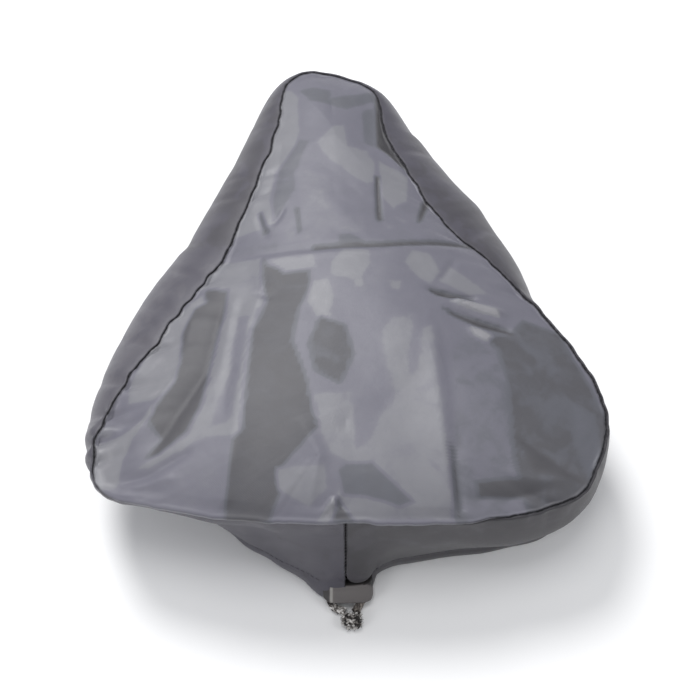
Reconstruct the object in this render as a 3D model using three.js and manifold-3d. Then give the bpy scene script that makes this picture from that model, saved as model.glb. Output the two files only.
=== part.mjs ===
// A cover for a bicycle saddle: a bell-shaped top panel, sewn round its edge to one long side band,
// whose lower edge is turned back as a casing for an elastic drawcord. The cover stands open and empty
// on its hem. Millimetres, +Z up, +Y toward the narrow front end. Every piece of cloth is drawn as the
// surface through the middle of its thickness and is then given that thickness.
import * as THREE from 'three';
import { mergeVertices } from 'three/addons/utils/BufferGeometryUtils.js';
import Module from 'manifold-3d';

const wasm = await Module();
wasm.setup();

// Sizes.

const CLOTH = 1.2;              // thickness of the coated cloth with its coating
const STATIONS = 100;           // steps round the loop of the seam; "at" below counts in these
const SHIFT = [-1.0, -28.2, 0]; // from the frame of the tables, at the middle of the wide part, to the
                                // middle of the whole cover

const SEAM = {                  // where the top panel meets the band
  allowance: 4.5,               // cloth turned down inside, on each side of the seam
  between: 1.7,                 // from the middle of one turned-down edge to the middle of the other
  fullRoll: 3.5,                // how far the top panel's edge rolls out over the seam at the back
  rollDrop: 1.4,                // how much lower the band starts under a full roll
};
const CROWN = {
  power: 2.1,                   // how slowly the top panel falls off from its middle line
  calm: 6,                      // its creases fade out over the last 1/calm of the way to the seam
};
const WALL = {                  // the band's wall from the seam past its widest height to the hem
  upper: 4,                     // rows above the widest height
  lower: 5,                     // rows below it
  leave: 1.5,                   // pull outwards on leaving the seam
  leaveDrop: 0.35,              // and downwards, as a share of the height to fall
  clear: 3.2,                   // where the wall stands out less than this, it first drops clear of
  clearOver: 4,                 // its own turned-down edge, fully so this much further in
  clearOut: 4,                  // pull outwards there
  clearDrop: 1.6,               // and downwards
  pass: 0.5,                    // pull past the widest height
  arrive: 1.1,                  // pull on coming down to the hem
};
const CASING = {                // the tube along the hem, flat on what the cover stands on
  stitch: 10,                   // height of the line of stitching that closes it
  half: 3.9,                    // half its width
};
const BACK = {                  // the opening at the back, where the cord comes out
  slit: 0.5,                    // between the two ends of the band
  left: 11,                     // the casing is cut back this far on the left
  right: 12.5,                  // and this far on the right
  leftEdge: 8.3,                // height of the left corner's lower edge
  rightEdge: 10.4,              // and of the right one's
};
const CORD = { diameter: 3.5, lift: 3.4, steps: 80, sides: 8 };
const GATHER = {                // bulges of the hem between its stitches
  depth: 1.7,
  waves: [29, 21, 13],          // three sets of waves round the hem, by their number
  still: 3,                     // none this many steps from the back, and full ones twice as far off
  reach: 22,                    // they run this far up the wall
  share: 0.7,                   // and start there with this share of their depth
};
const TAB = { steps: 2, bulge: 0.5 };

// The seam line, a row per section, going round from the back by way of the right side and the front:
// the point itself, how far the band stands out beyond it and how far below it that happens, and how
// far the top panel rolls out over the seam.
const SEAM_ROWS = table('at x y z out drop roll', [
  [0, 0, -99, 62, 3.5, 24, 3.5],
  [2, 10, -99, 62, 3.5, 24, 3.5],
  [5, 26, -99.5, 61.5, 2.8, 24, 3.0],
  [9, 60, -98.5, 60, 2.6, 25, 1.2],
  [12, 82, -95.5, 58.5, 2.8, 25, 0],
  [15, 106, -85.5, 57, 3.0, 25, 0],
  [18, 118.5, -66, 56, 3.2, 25, 0],
  [20.5, 122.4, -45, 56, 3.2, 25, 0],
  [24, 115.0, -20, 56.5, 2.6, 24, 0],
  [27.5, 98, 8, 57, 4.0, 23, 0],
  [32, 75, 36.5, 59, 19, 22, 0],
  [36.5, 49, 65, 60, 30, 22, 0],
  [40.5, 33, 95, 60, 26.5, 22, 0],
  [44.5, 20, 126, 58, 22, 20, 0],
  [47.5, 15.5, 153.5, 56, 10, 19, 0],
  [50, -3, 165.5, 55, 7, 19, 0],
  [52, -21, 168, 56, 7, 19, 0],
  [54, -32, 158.5, 57, 10.5, 19, 0],
  [57, -37, 133, 59, 17.5, 20, 0],
  [60, -42, 104, 61, 22, 22, 0],
  [64, -52, 72, 61, 25, 22, 0],
  [67.5, -61, 42, 61, 30, 22, 0],
  [71.5, -80, 12, 61, 28, 22, 0],
  [76, -99.5, -20, 60, 20, 21, 0],
  [79.5, -113, -47, 58, 10, 19, 0],
  [82, -117, -68.5, 57, 1, 17, 0],
  [84.5, -110.5, -84, 57, -9, 17, 0.5],
  [87.5, -88, -90.3, 60, -12.5, 20, 1.0],
  [91, -62, -96, 62, -4, 22, 3.0],
  [94, -38, -98.5, 62.5, -2, 23, 3.5],
  [97, -20, -99, 62, 2.6, 24, 4.0],
]);

// The middle of the casing, a row per section: where it lies on the floor, and how far out from there
// the wall comes down on it.
const HEM_ROWS = table('at x y lean', [
  [0, 0, -114, -3.5],
  [2, 8.5, -109.5, 1],
  [3.5, 12.5, -100.5, 4],
  [5.5, 25, -94.5, 4],
  [9, 56, -89.5, 4],
  [12, 78, -86, 4.3],
  [15, 97, -79, 4.5],
  [17.5, 108, -65, 4.5],
  [20.5, 111, -46, 4.5],
  [24, 103.5, -18, 4.5],
  [27.5, 88, 7, 4.5],
  [32, 66, 36, 4.5],
  [36.5, 48, 67, 4.5],
  [40.5, 35, 98, 4.5],
  [44.5, 24, 128, 4.5],
  [47.5, 13, 148, 4.5],
  [50, -3, 156, 4.5],
  [52, -17, 156, 4.5],
  [54.5, -29, 146, 4.5],
  [57, -37, 124, 4.5],
  [60, -45, 97, 4.5],
  [64, -56, 63, 4.5],
  [67.5, -67, 32, 4.5],
  [71.5, -79, 0, 4.5],
  [76, -87, -30, 4.5],
  [79.5, -87, -50, 4.5],
  [82, -80, -57, 4.5],
  [84.5, -72, -64, 4.5],
  [87.5, -60.5, -73.5, 4.5],
  [91, -47.5, -84.5, 4.5],
  [94, -33, -93.8, 4],
  [97, -18.5, -103.2, 2.5],
  [98.5, -10, -111, -0.5],
]);

// The line down the middle of the top panel, from the back to the front.
const MIDDLE_ROWS = table('at x y z', [
  [0, 0, -58, 76],
  [10, 1, -50, 77],
  [20, 2, -36, 78],
  [28, 2, -8, 77.5],
  [34, 1, 30, 75],
  [40, -2, 72, 70.5],
  [46, -6, 112, 66.5],
  [50, -8, 138, 63.5],
]);

// The lower corner of the right side, rounded: from the slit, and above the right edge's height.
const CORNER_ROWS = table('x up', [
  [4, 0],
  [1.9, 0.7],
  [0.9, 2],
  [0.5, 4],
  [0, 4],
]);

// The knot, a row per lump: the turns of cord that are drawn tight, then the two short ends.
const KNOT_ROWS = table('x y z rx ry rz turn', [
  [0.4, -126.2, 3.4, 2.9, 3.0, 3.0, 0.5],
  [4.2, -126.2, 3.4, 2.7, 3.0, 3.0, -0.4],
  [2.3, -128.8, 3.2, 3.6, 2.5, 2.8, 0.2],
  [1.0, -131.3, 2.0, 1.7, 2.5, 1.8, 0.25],
  [3.7, -131.0, 2.0, 1.7, 2.4, 1.8, -0.2],
]);

// Creases and soft folds of the top panel: a line through three points, how far the cloth rises (or
// sinks, where negative) and how wide the fold is to each side.
const CREASES = table('rise width x1 y1 x2 y2 x3 y3', [
  [-1.5, 3.5, -68, 33, -9, 41, 54, 44],      // the packing crease across
  [1.0, 5.0, -60, 41, -9, 49, 45, 51],       // the cloth above it
  [1.5, 6.0, -41, 34, -46, -15, -54, -98],   // long ridge on the left
  [1.3, 6.0, 42, -5, 45, -50, 47, -97],      // long ridge on the right
  [-1.5, 3.5, 50, -56, 51, -78, 52, -100],   // the dark fold beside it
  [-2.0, 7.0, -64, 8, -75, -36, -89, -66],   // hollow on the left
  [1.3, 5.0, -57, 20, -66, -30, -78, -62],   // streak beside the hollow
  [-1.6, 4.5, -70, -70, -87, -84, -103, -87],
  [-1.8, 5.0, -100, -58, -103, -72, -105, -84],
  [-1.8, 4.0, 40, 20, 52, 15, 64, 10],       // pinch folds on the right
  [1.6, 4.5, 54, 12, 65, 9, 76, 2],
  [-1.8, 4.5, 51, 9, 64, 3, 79, -7],
  [1.2, 4.5, 56, -2, 66, -8, 77, -17],
  [-2.2, 4.5, 13, 143, 20, 119, 29, 98],     // fold along the front's right side
  [-0.9, 3.0, 17, 82, 17, 70, 18, 58],
  [-0.9, 3.5, 54, 36, 49, 28, 45, 21],
]);

// Soft troughs and swells of the band, a row per fold: where, how wide, how far out (or in), and how
// far it slants round the band between its top and its hem.
const BAND_FOLDS = table('at width out slant', [
  [7, 1.6, -2.0, 1.5],
  [12.5, 1.5, 2.0, -1.0],
  [16, 1.2, -2.2, -1.2],
  [23, 1.8, -1.6, 0.8],
  [30, 1.5, -2.0, -1.0],
  [38, 1.7, 1.8, 1.0],
  [43, 1.2, -2.0, -1.0],
  [57, 1.4, -2.0, 1.0],
  [62, 1.8, 1.6, -1.0],
  [66.8, 1.2, -3.0, -1.5],
  [73, 1.7, -1.8, 1.2],
  [78, 1.5, 1.6, 1.0],
  [86, 1.8, -2.0, -1.2],
  [93, 1.5, -2.2, 1.5],
]);

// Curves.

function table(names, rows) {
  const columns = names.split(' ');
  return rows.map((row) => Object.fromEntries(columns.map((name, i) => [name, row[i]])));
}

// Smooth curve through one column of a table, with "at" as its parameter; closed ones repeat.
function through(rows, column, closed) {
  const count = rows.length;
  const knot = (i) => {
    if (!closed) return rows[Math.min(count - 1, Math.max(0, i))];
    const turns = Math.floor(i / count);
    const row = rows[i - turns * count];
    return { ...row, at: row.at + turns * STATIONS };
  };
  const slope = (i) => {
    const before = knot(i - 1), after = knot(i + 1);
    return after.at === before.at ? 0 : (after[column] - before[column]) / (after.at - before.at);
  };
  return (at) => {
    const where = closed ? ((at % STATIONS) + STATIONS) % STATIONS : at;
    let i = 0;
    while (i < count - 1 && knot(i + 1).at <= where) i += 1;
    if (!closed) i = Math.min(i, count - 2);
    const a = knot(i), b = knot(i + 1);
    const span = b.at - a.at, t = (where - a.at) / span;
    const t2 = t * t, t3 = t2 * t;
    return a[column] * (2 * t3 - 3 * t2 + 1) + b[column] * (3 * t2 - 2 * t3)
      + span * (slope(i) * (t3 - 2 * t2 + t) + slope(i + 1) * (t3 - t2));
  };
}

function curves(rows, columns, closed) {
  return Object.fromEntries(columns.split(' ').map((name) => [name, through(rows, name, closed)]));
}

const seam = curves(SEAM_ROWS, 'x y z out drop roll', true);
const hem = curves(HEM_ROWS, 'x y lean', true);
const middle = curves(MIDDLE_ROWS, 'x y z', false);

// Level direction pointing out of the loop, square to the curve; straight back at the back seam.
function outward(curve, at) {
  if (at % STATIONS === 0) return new THREE.Vector3(0, -1, 0);
  const reach = 0.25;
  const dx = curve.x(at + reach) - curve.x(at - reach);
  const dy = curve.y(at + reach) - curve.y(at - reach);
  return new THREE.Vector3(dy, -dx, 0).normalize();
}

const seamPoint = (at) => new THREE.Vector3(seam.x(at), seam.y(at), seam.z(at));
const hemPoint = (at) => new THREE.Vector3(hem.x(at), hem.y(at), 0);

// A point so far out from a curve's point, at a height.
const beside = (point, out, distance, z) => point.clone().addScaledVector(out, distance).setZ(z);

const mix = (a, b, t) => a + (b - a) * t;
const bell = (distance, width) => Math.exp(-((distance / width) ** 2));

// Surfaces.

// How far the creases lift the top panel at a place.
function crease(x, y) {
  let rise = 0;
  for (const fold of CREASES) {
    const ends = [[fold.x1, fold.y1], [fold.x2, fold.y2], [fold.x3, fold.y3]];
    let nearest = Infinity;
    for (let i = 0; i < 2; i += 1) {
      const [ax, ay] = ends[i], [bx, by] = ends[i + 1];
      const along = ((x - ax) * (bx - ax) + (y - ay) * (by - ay)) / ((bx - ax) ** 2 + (by - ay) ** 2);
      const t = Math.min(1, Math.max(0, along));
      nearest = Math.min(nearest, Math.hypot(x - mix(ax, bx, t), y - mix(ay, by, t)));
    }
    rise += fold.rise * bell(nearest, fold.width);
  }
  return rise;
}

// Slow unevenness of cloth that nothing stretches.
function slack(x, y) {
  return 0.8 * Math.sin(x / 19 + 0.6) * Math.sin(y / 23 + 1.1) + 0.5 * Math.sin((x + y) / 13);
}

// The top panel: rings from its middle line out to the seam, then its edge, which rolls over and is
// turned down inside.
function topPanel() {
  const rings = [0, 0.12, 0.24, 0.36, 0.47, 0.58, 0.68, 0.77, 0.85, 0.92];
  // Edge of the section without and with a full roll: out from the seam, above the seam.
  const turned = SEAM.between / 2;
  const edge = table('out up outRolled upRolled', [
    [-3.0, 1.6, 0.5, 3.7],
    [-1.5, 1.2, 2.7, 2.0],
    [-turned, 0.2, 1.6, 0.4],
    [-turned, -1.2, -0.4, -0.8],
    [-turned, -2.9, -turned, -2.9],
    [-turned, -SEAM.allowance, -turned, -SEAM.allowance],
  ]);
  const grid = [];
  for (const t of rings) {
    grid.push(columnsOf((at) => {
      const inner = Math.min(at, STATIONS - at);
      const start = new THREE.Vector3(middle.x(inner), middle.y(inner), middle.z(inner));
      const end = edgePoint(at, edge[0]);
      const point = start.clone().lerp(end, t);
      point.z = mix(start.z, end.z, t ** CROWN.power);
      const calm = Math.min(1, (1 - t) * CROWN.calm);
      point.z += (crease(point.x, point.y) + slack(point.x, point.y)) * calm;
      return point;
    }));
  }
  for (const row of edge) grid.push(columnsOf((at) => edgePoint(at, row)));
  return grid;

  function edgePoint(at, row) {
    const roll = seam.roll(at) / SEAM.fullRoll;
    const point = seamPoint(at);
    return beside(point, outward(seam, at), mix(row.out, row.outRolled, roll),
      point.z + mix(row.up, row.upRolled, roll));
  }
}

function columnsOf(make) {
  return Array.from({ length: STATIONS + 1 }, (_, at) => make(at));
}

// Push of the band's folds, out of the loop, for a height that goes from 1 at the seam to 0 at the hem.
function bandFold(at, height) {
  let push = 0;
  for (const fold of BAND_FOLDS) {
    const away = Math.abs(at - fold.at - fold.slant * (1 - height));
    push += fold.out * bell(Math.min(away, STATIONS - away), fold.width);
  }
  return push * Math.sin(Math.PI * Math.min(1, Math.max(0, height))) ** 0.7;
}

// How far the hem bulges between stitches; none next to the opening at the back.
function gather(at) {
  const turn = (2 * Math.PI * at) / STATIONS;
  const [many, some, few] = GATHER.waves;
  const wave = 0.5 * Math.sin(many * turn + 2 * Math.sin(3 * turn)) + 0.3 * Math.sin(some * turn + 1)
    + 0.2 * Math.sin(few * turn + 2);
  const fromBack = Math.min(at, STATIONS - at);
  const fade = Math.min(1, Math.max(0, fromBack / GATHER.still - 1));
  return GATHER.depth * (0.5 + 0.5 * wave) * fade;
}

// The band: its edge turned down inside at the seam, over the seam, down the wall, and round the
// casing to the line of stitching.
function sideBand() {
  const grid = Array.from({ length: 4 }, () => []);
  const turned = SEAM.between / 2;
  const flatRows = new Set();
  for (let at = 0; at <= STATIONS; at += 1) {
    const s = seamPoint(at), outS = outward(seam, at);
    const roll = SEAM.rollDrop * (seam.roll(at) / SEAM.fullRoll);
    const c = hemPoint(at), outC = outward(hem, at), lean = hem.lean(at);
    const bulge = gather(at);
    const top = [
      beside(s, outS, turned, s.z - SEAM.allowance),
      beside(s, outS, turned, s.z - 2.3 - roll),
      beside(s, outS, turned + 0.5, s.z - 1.2 - roll),
      beside(s, outS, turned + 1.5, s.z - 0.8 - roll),
    ];
    const start = top[3];
    const belly = beside(s, outS, seam.out(at), s.z - seam.drop(at));
    const foot = beside(c, outC, lean, CASING.stitch);
    const drop = start.z - belly.z;
    const under = Math.min(1, Math.max(0, (WALL.clear - seam.out(at)) / WALL.clearOver));
    const leave = belly.clone().sub(start).multiplyScalar(WALL.leave * (1 - under))
      .addScaledVector(outS, WALL.clearOut * under)
      .setZ(-mix(WALL.leaveDrop, WALL.clearDrop, under) * drop);
    const pass = foot.clone().sub(start).multiplyScalar(WALL.pass);
    const passAbove = pass.clone().multiplyScalar(0.9);
    const arrive = foot.clone().sub(belly).multiplyScalar(WALL.arrive);
    const column = [...top];
    for (let i = 1; i <= WALL.upper; i += 1) {
      column.push(hermite(start, belly, leave, passAbove, i / WALL.upper));
    }
    for (let i = 1; i <= WALL.lower; i += 1) {
      column.push(hermite(belly, foot, pass, arrive, i / WALL.lower));
    }
    const first = top.length, last = column.length - 1;
    for (let i = first; i <= last; i += 1) {
      const height = 1 - (i - first + 1) / (last - first + 1);
      const low = Math.max(0, 1 - (column[i].z - CASING.stitch) / GATHER.reach);
      column[i].addScaledVector(outS, bandFold(at, height));
      column[i].addScaledVector(outC, bulge * low * GATHER.share);
    }
    const casing = table('out up bulge flat', [
      [0.45 * lean + 2.6, 6.6, 1, 0],
      [CASING.half, 2.3, 0.9, 0],
      [CASING.half - 1.0, CLOTH / 2, 0.7, 1],
      [-CASING.half + 1.2, CLOTH / 2, 0, 1],
      [-CASING.half, 2.0, 0, 0],
      [-CASING.half + Math.min(0, 0.3 * lean), 5.0, 0, 0],
      [lean - 2.7, 7.0, 0, 0],
      [lean - 1.8, CASING.stitch - 1.5, 0, 0],
    ]);
    for (const row of casing) {
      if (row.flat) flatRows.add(column.length);
      column.push(beside(c, outC, row.out + row.bulge * bulge, row.up));
    }
    const side = at === 0 ? BACK.slit / 2 : at === STATIONS ? -BACK.slit / 2 : 0;
    column.forEach((point, i) => {
      point.x += side;
      (grid[i] ??= []).push(point);
    });
  }
  return { grid, flatRows };
}

function hermite(a, b, leave, arrive, t) {
  const t2 = t * t, t3 = t2 * t;
  return new THREE.Vector3()
    .addScaledVector(a, 2 * t3 - 3 * t2 + 1)
    .addScaledVector(b, 3 * t2 - 2 * t3)
    .addScaledVector(leave, t3 - 2 * t2 + t)
    .addScaledVector(arrive, t3 - t2);
}

// The end of the casing's outer side that carries on past the right corner, under both corners: a
// flat tab, a row from its top edge to its lower edge for each place along it.
function tab() {
  const rows = table('topX topY topZ lowX lowY lowZ', [
    [15.4, -103.0, 8.6, 17.6, -104.0, 3.4],
    [13.4, -105.6, 8.7, 15.0, -107.0, 3.6],
    [11.4, -110.0, 8.5, 12.7, -113.0, 3.9],
    [7.5, -112.6, 8.3, 10.4, -117.6, 4.7],
    [2.5, -113.2, 8.0, 4.0, -118.9, 4.9],
    [-2.5, -113.4, 7.7, -2.0, -119.0, 4.9],
    [-6.8, -113.4, 7.6, -6.9, -118.9, 4.9],
  ]);
  return Array.from({ length: TAB.steps + 1 }, (_, i) => rows.map((row) => new THREE.Vector3(
    mix(row.topX, row.lowX, i / TAB.steps),
    mix(row.topY, row.lowY, i / TAB.steps) - TAB.bulge * Math.sin((Math.PI * i) / TAB.steps),
    mix(row.topZ, row.lowZ, i / TAB.steps),
  )));
}

// Solids.

// Gives a grid of points the cloth's thickness and closes its edges. Points that fall together are
// joined; those of the flat rows get their lower side exactly on the floor. Square ends are cut
// straight across, facing along x. At a sharp fold the sides stand off by at most 1/sharpest more.
function thicken(grid, { flatRows = new Set(), squareEnds = false } = {}) {
  const points = [], flat = [], square = [], seen = new Map();
  const sharpest = 0.75, perMillimetre = 1000;
  const index = grid.map((row, r) => row.map((p, c) => {
    const key = [p.x, p.y, p.z].map((v) => Math.round(v * perMillimetre)).join();
    if (!seen.has(key)) {
      seen.set(key, points.length);
      points.push(p);
      flat.push(flatRows.has(r));
      square.push(squareEnds && (c === 0 || c === row.length - 1));
    }
    return seen.get(key);
  }));
  const faces = [];
  const addFace = (a, b, c) => {
    if (a !== b && b !== c && c !== a) faces.push([a, b, c]);
  };
  for (let r = 0; r + 1 < index.length; r += 1) {
    for (let c = 0; c + 1 < index[r].length; c += 1) {
      const a = index[r][c], b = index[r + 1][c], d = index[r][c + 1], e = index[r + 1][c + 1];
      if (points[a].distanceTo(points[e]) <= points[b].distanceTo(points[d])) {
        addFace(a, b, e);
        addFace(a, e, d);
      } else {
        addFace(a, b, d);
        addFace(b, e, d);
      }
    }
  }
  const normals = points.map(() => new THREE.Vector3());
  const faceNormals = faces.map(([a, b, c]) => {
    const normal = new THREE.Vector3().crossVectors(
      points[b].clone().sub(points[a]), points[c].clone().sub(points[a])).normalize();
    [[a, b, c], [b, c, a], [c, a, b]].forEach(([at, to, from]) => {
      const angle = points[to].clone().sub(points[at]).angleTo(points[from].clone().sub(points[at]));
      normals[at].addScaledVector(normal, angle);
    });
    return normal;
  });
  normals.forEach((normal, v) => {
    if (square[v]) normal.setX(0);
    normal.normalize();
  });
  const reach = points.map(() => 1);
  faces.forEach((face, i) => face.forEach((v) => {
    reach[v] = Math.min(reach[v], faceNormals[i].dot(normals[v]));
  }));
  const positions = [];
  for (const side of [1, -1]) {
    points.forEach((p, v) => {
      const far = (CLOTH / 2) / Math.max(sharpest, reach[v]);
      const q = p.clone().addScaledVector(normals[v], side * far);
      if (flat[v]) q.z = normals[v].z * side < 0 ? 0 : CLOTH;
      positions.push(q.x, q.y, q.z);
    });
  }
  const count = points.length;
  const triangles = [];
  const open = new Map();
  for (const [a, b, c] of faces) {
    triangles.push([a, b, c], [a + count, c + count, b + count]);
    for (const [from, to] of [[a, b], [b, c], [c, a]]) {
      if (open.has(`${to},${from}`)) open.delete(`${to},${from}`);
      else open.set(`${from},${to}`, [from, to]);
    }
  }
  for (const [from, to] of open.values()) {
    triangles.push([from, from + count, to + count], [from, to + count, to]);
  }
  const made = new wasm.Manifold(new wasm.Mesh({
    numProp: 3,
    vertProperties: new Float32Array(positions),
    triVerts: new Uint32Array(triangles.flat()),
  }));
  if (made.volume() > 0) return made;
  return new wasm.Manifold(new wasm.Mesh({
    numProp: 3,
    vertProperties: new Float32Array(positions),
    triVerts: new Uint32Array(triangles.map(([a, b, c]) => [a, c, b]).flat()),
  }));
}

// A solid of manifold-3d from a closed three.js geometry, and back again.
function solidOf(geometry) {
  const bare = new THREE.BufferGeometry().setAttribute('position', geometry.getAttribute('position'));
  if (geometry.index) bare.setIndex(geometry.index);
  const merged = mergeVertices(bare, 1e-3);
  return new wasm.Manifold(new wasm.Mesh({
    numProp: 3,
    vertProperties: merged.attributes.position.array,
    triVerts: new Uint32Array(merged.index.array),
  }));
}

function geometryOf(solid) {
  const { numProp, vertProperties, triVerts } = solid.getMesh();
  const position = new Float32Array((vertProperties.length / numProp) * 3);
  for (let i = 0; i < position.length / 3; i += 1) {
    for (let k = 0; k < 3; k += 1) position[3 * i + k] = vertProperties[numProp * i + k];
  }
  const geometry = new THREE.BufferGeometry();
  geometry.setAttribute('position', new THREE.BufferAttribute(position, 3));
  geometry.setIndex(new THREE.BufferAttribute(triVerts, 1));
  geometry.computeVertexNormals();
  return geometry;
}

// A prism over an outline in x and z, from a back y to a front y.
function prism(outline, nearY, farY) {
  const shape = new THREE.Shape(outline.map(([x, z]) => new THREE.Vector2(x, z)));
  const geometry = new THREE.ExtrudeGeometry(shape, { depth: farY - nearY, bevelEnabled: false });
  geometry.rotateX(Math.PI / 2);
  geometry.translate(0, farY, 0);
  return solidOf(geometry);
}

// The band with its casing cut back on both sides of the opening, its right corner rounded, and the
// tab left on the right side.
function bandSolid() {
  const { grid, flatRows } = sideBand();
  const below = -1, nearY = -126, farY = -98;
  const left = prism([
    [-BACK.left, below], [0, below], [0, BACK.leftEdge], [-BACK.left, BACK.leftEdge],
  ], nearY, farY);
  const right = prism([
    [0, below], [BACK.right, below], [BACK.right, BACK.rightEdge - 0.6],
    ...CORNER_ROWS.map((row) => [row.x, BACK.rightEdge + row.up]),
  ], nearY, farY);
  const strip = thicken(grid, { flatRows, squareEnds: true });
  return strip.subtract(left).subtract(right).add(thicken(tab()));
}

// The drawcord: from the knot in at the right of the opening, once round the casing, and out at the
// left to the knot.
const CORD_ENDS = {
  right: [
    [4.8, -121.9, 1.9], [6.3, -119.6, 1.9], [7.9, -116.4, 1.9],
    [9.0, -111.5, 2.6], [11.1, -104.8, 3.5], [13.6, -100.4, 3.4],
  ],
  left: [
    [-15.6, -105.8, 3.4], [-12.0, -107.7, 3.4], [-8.4, -110.6, 3.3],
    [-7.7, -116.0, 2.0], [-5.4, -120.4, 1.9], [-1.0, -122.2, 1.9],
  ],
};

function drawcord() {
  const route = CORD_ENDS.right.map((p) => new THREE.Vector3(...p));
  for (let at = 4; at <= 96; at += 1) {
    const c = hemPoint(at), lean = hem.lean(at);
    route.push(beside(c, outward(hem, at), 0.05 * lean, CORD.lift));
  }
  route.push(...CORD_ENDS.left.map((p) => new THREE.Vector3(...p)));
  const path = new THREE.CatmullRomCurve3(route, false, 'centripetal');
  const section = new THREE.Shape();
  section.absarc(0, 0, CORD.diameter / 2, 0, 2 * Math.PI);
  return new THREE.ExtrudeGeometry(section, {
    steps: CORD.steps, curveSegments: CORD.sides / 2, bevelEnabled: false, extrudePath: path,
  });
}

// The knot: two turns of cord drawn tight round the two strands, and the two short ends behind it.
function knot() {
  const around = 14, over = 9;
  const lumps = KNOT_ROWS.map((row) => {
    const geometry = new THREE.SphereGeometry(1, around, over);
    geometry.scale(row.rx, row.ry, row.rz);
    geometry.rotateZ(row.turn);
    geometry.translate(row.x, row.y, row.z);
    return solidOf(geometry);
  });
  return lumps.reduce((sum, lump) => sum.add(lump));
}

// The cover.

const MATERIALS = {
  top_panel: { color: '#85868f', roughness: 0.55, metalness: 0 },
  side_band: { color: '#6a686f', roughness: 0.6, metalness: 0 },
  drawcord: { color: '#5b5958', roughness: 0.85, metalness: 0 },
  cord_knot: { color: '#615e5e', roughness: 0.9, metalness: 0 },
};

function mesh(name, geometry) {
  const made = new THREE.Mesh(geometry, new THREE.MeshStandardMaterial(MATERIALS[name]));
  made.name = name;
  made.position.set(...SHIFT);
  return made;
}

const cover = new THREE.Group();
cover.name = 'saddle_cover';
cover.add(mesh('top_panel', geometryOf(thicken(topPanel()))));
cover.add(mesh('side_band', geometryOf(bandSolid())));
cover.add(mesh('drawcord', drawcord()));
cover.add(mesh('cord_knot', geometryOf(knot())));

export default cover;
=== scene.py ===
# %% [markdown]
# # The looks of a bicycle saddle cover
# The real cover is two pieces of thin coated cloth. A bell-shaped top is sewn round its edge to one
# long band, and the band's lower edge is turned back as a casing for an elastic cord, which is knotted
# at the back. The solids from the CAD step are the frame: every piece below is drawn on their
# surfaces, in metres, and rides on the one body, "root".

# %% The frame
import math

import bmesh
import bpy
import numpy as np
from mathutils import Matrix, Vector, kdtree, noise


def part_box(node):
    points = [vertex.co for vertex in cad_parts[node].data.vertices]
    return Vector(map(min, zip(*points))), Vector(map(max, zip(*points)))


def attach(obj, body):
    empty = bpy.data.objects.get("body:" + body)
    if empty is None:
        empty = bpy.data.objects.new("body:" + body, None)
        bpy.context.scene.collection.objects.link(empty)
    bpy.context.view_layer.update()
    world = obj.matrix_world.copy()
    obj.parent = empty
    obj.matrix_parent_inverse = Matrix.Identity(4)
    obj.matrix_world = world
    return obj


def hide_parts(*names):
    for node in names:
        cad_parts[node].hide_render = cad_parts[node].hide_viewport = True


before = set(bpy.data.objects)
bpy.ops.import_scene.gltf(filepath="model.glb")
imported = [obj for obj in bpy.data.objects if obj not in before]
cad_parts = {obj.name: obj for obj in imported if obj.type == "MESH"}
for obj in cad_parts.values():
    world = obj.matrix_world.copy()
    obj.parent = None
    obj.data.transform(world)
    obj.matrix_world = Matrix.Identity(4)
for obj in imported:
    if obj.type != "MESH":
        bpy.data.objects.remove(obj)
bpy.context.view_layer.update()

for name in sorted(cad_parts):
    low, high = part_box(name)
    print(f"{name}: {[round((b - a) * 1000, 1) for a, b in zip(low, high)]} mm")

# %% [markdown]
# ## Camera
# The photograph looks down on the cover from the back at about 60 degrees, from some 65 cm away. The
# camera stands there and looks at a point near the middle of the cover. A longer lens than usual goes
# with that distance, so that the front end isn't made too narrow.

# %% The camera
ELEVATION = math.radians(60)
DISTANCE = 0.650
LOOKS_AT = Vector((0.0010, -0.0282, 0.0400))
LENS_MM = 66.86

eye = bpy.data.cameras.new("eye")
eye.lens = LENS_MM
eye.clip_start, eye.clip_end = 0.01, 20
camera = bpy.data.objects.new("eye", eye)
bpy.context.scene.collection.objects.link(camera)
back_off = Vector((0, -math.cos(ELEVATION), math.sin(ELEVATION)))
camera.location = LOOKS_AT + DISTANCE * back_off
camera.rotation_euler = (math.pi / 2 - ELEVATION, 0, 0)
bpy.context.scene.camera = camera
print("camera at", [round(v, 3) for v in camera.location])

# %% [markdown]
# ## Curves of the cut
# The seam, the hem and the middle line of the top are smooth curves through short tables, the same
# ones that shape the solids, in millimetres. "at" counts 100 steps round the cover: 0 is the back
# seam, then come the right side, the front at 50 and the left side.

# %% The tables of the cut
MM = 0.001
STATIONS = 100                # steps of "at" round the cover
SHIFT = (-1.0, -28.2, 0.0)    # from the tables' frame to the cover's own


def table(names, rows):
    return [dict(zip(names.split(), row)) for row in rows]


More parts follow.
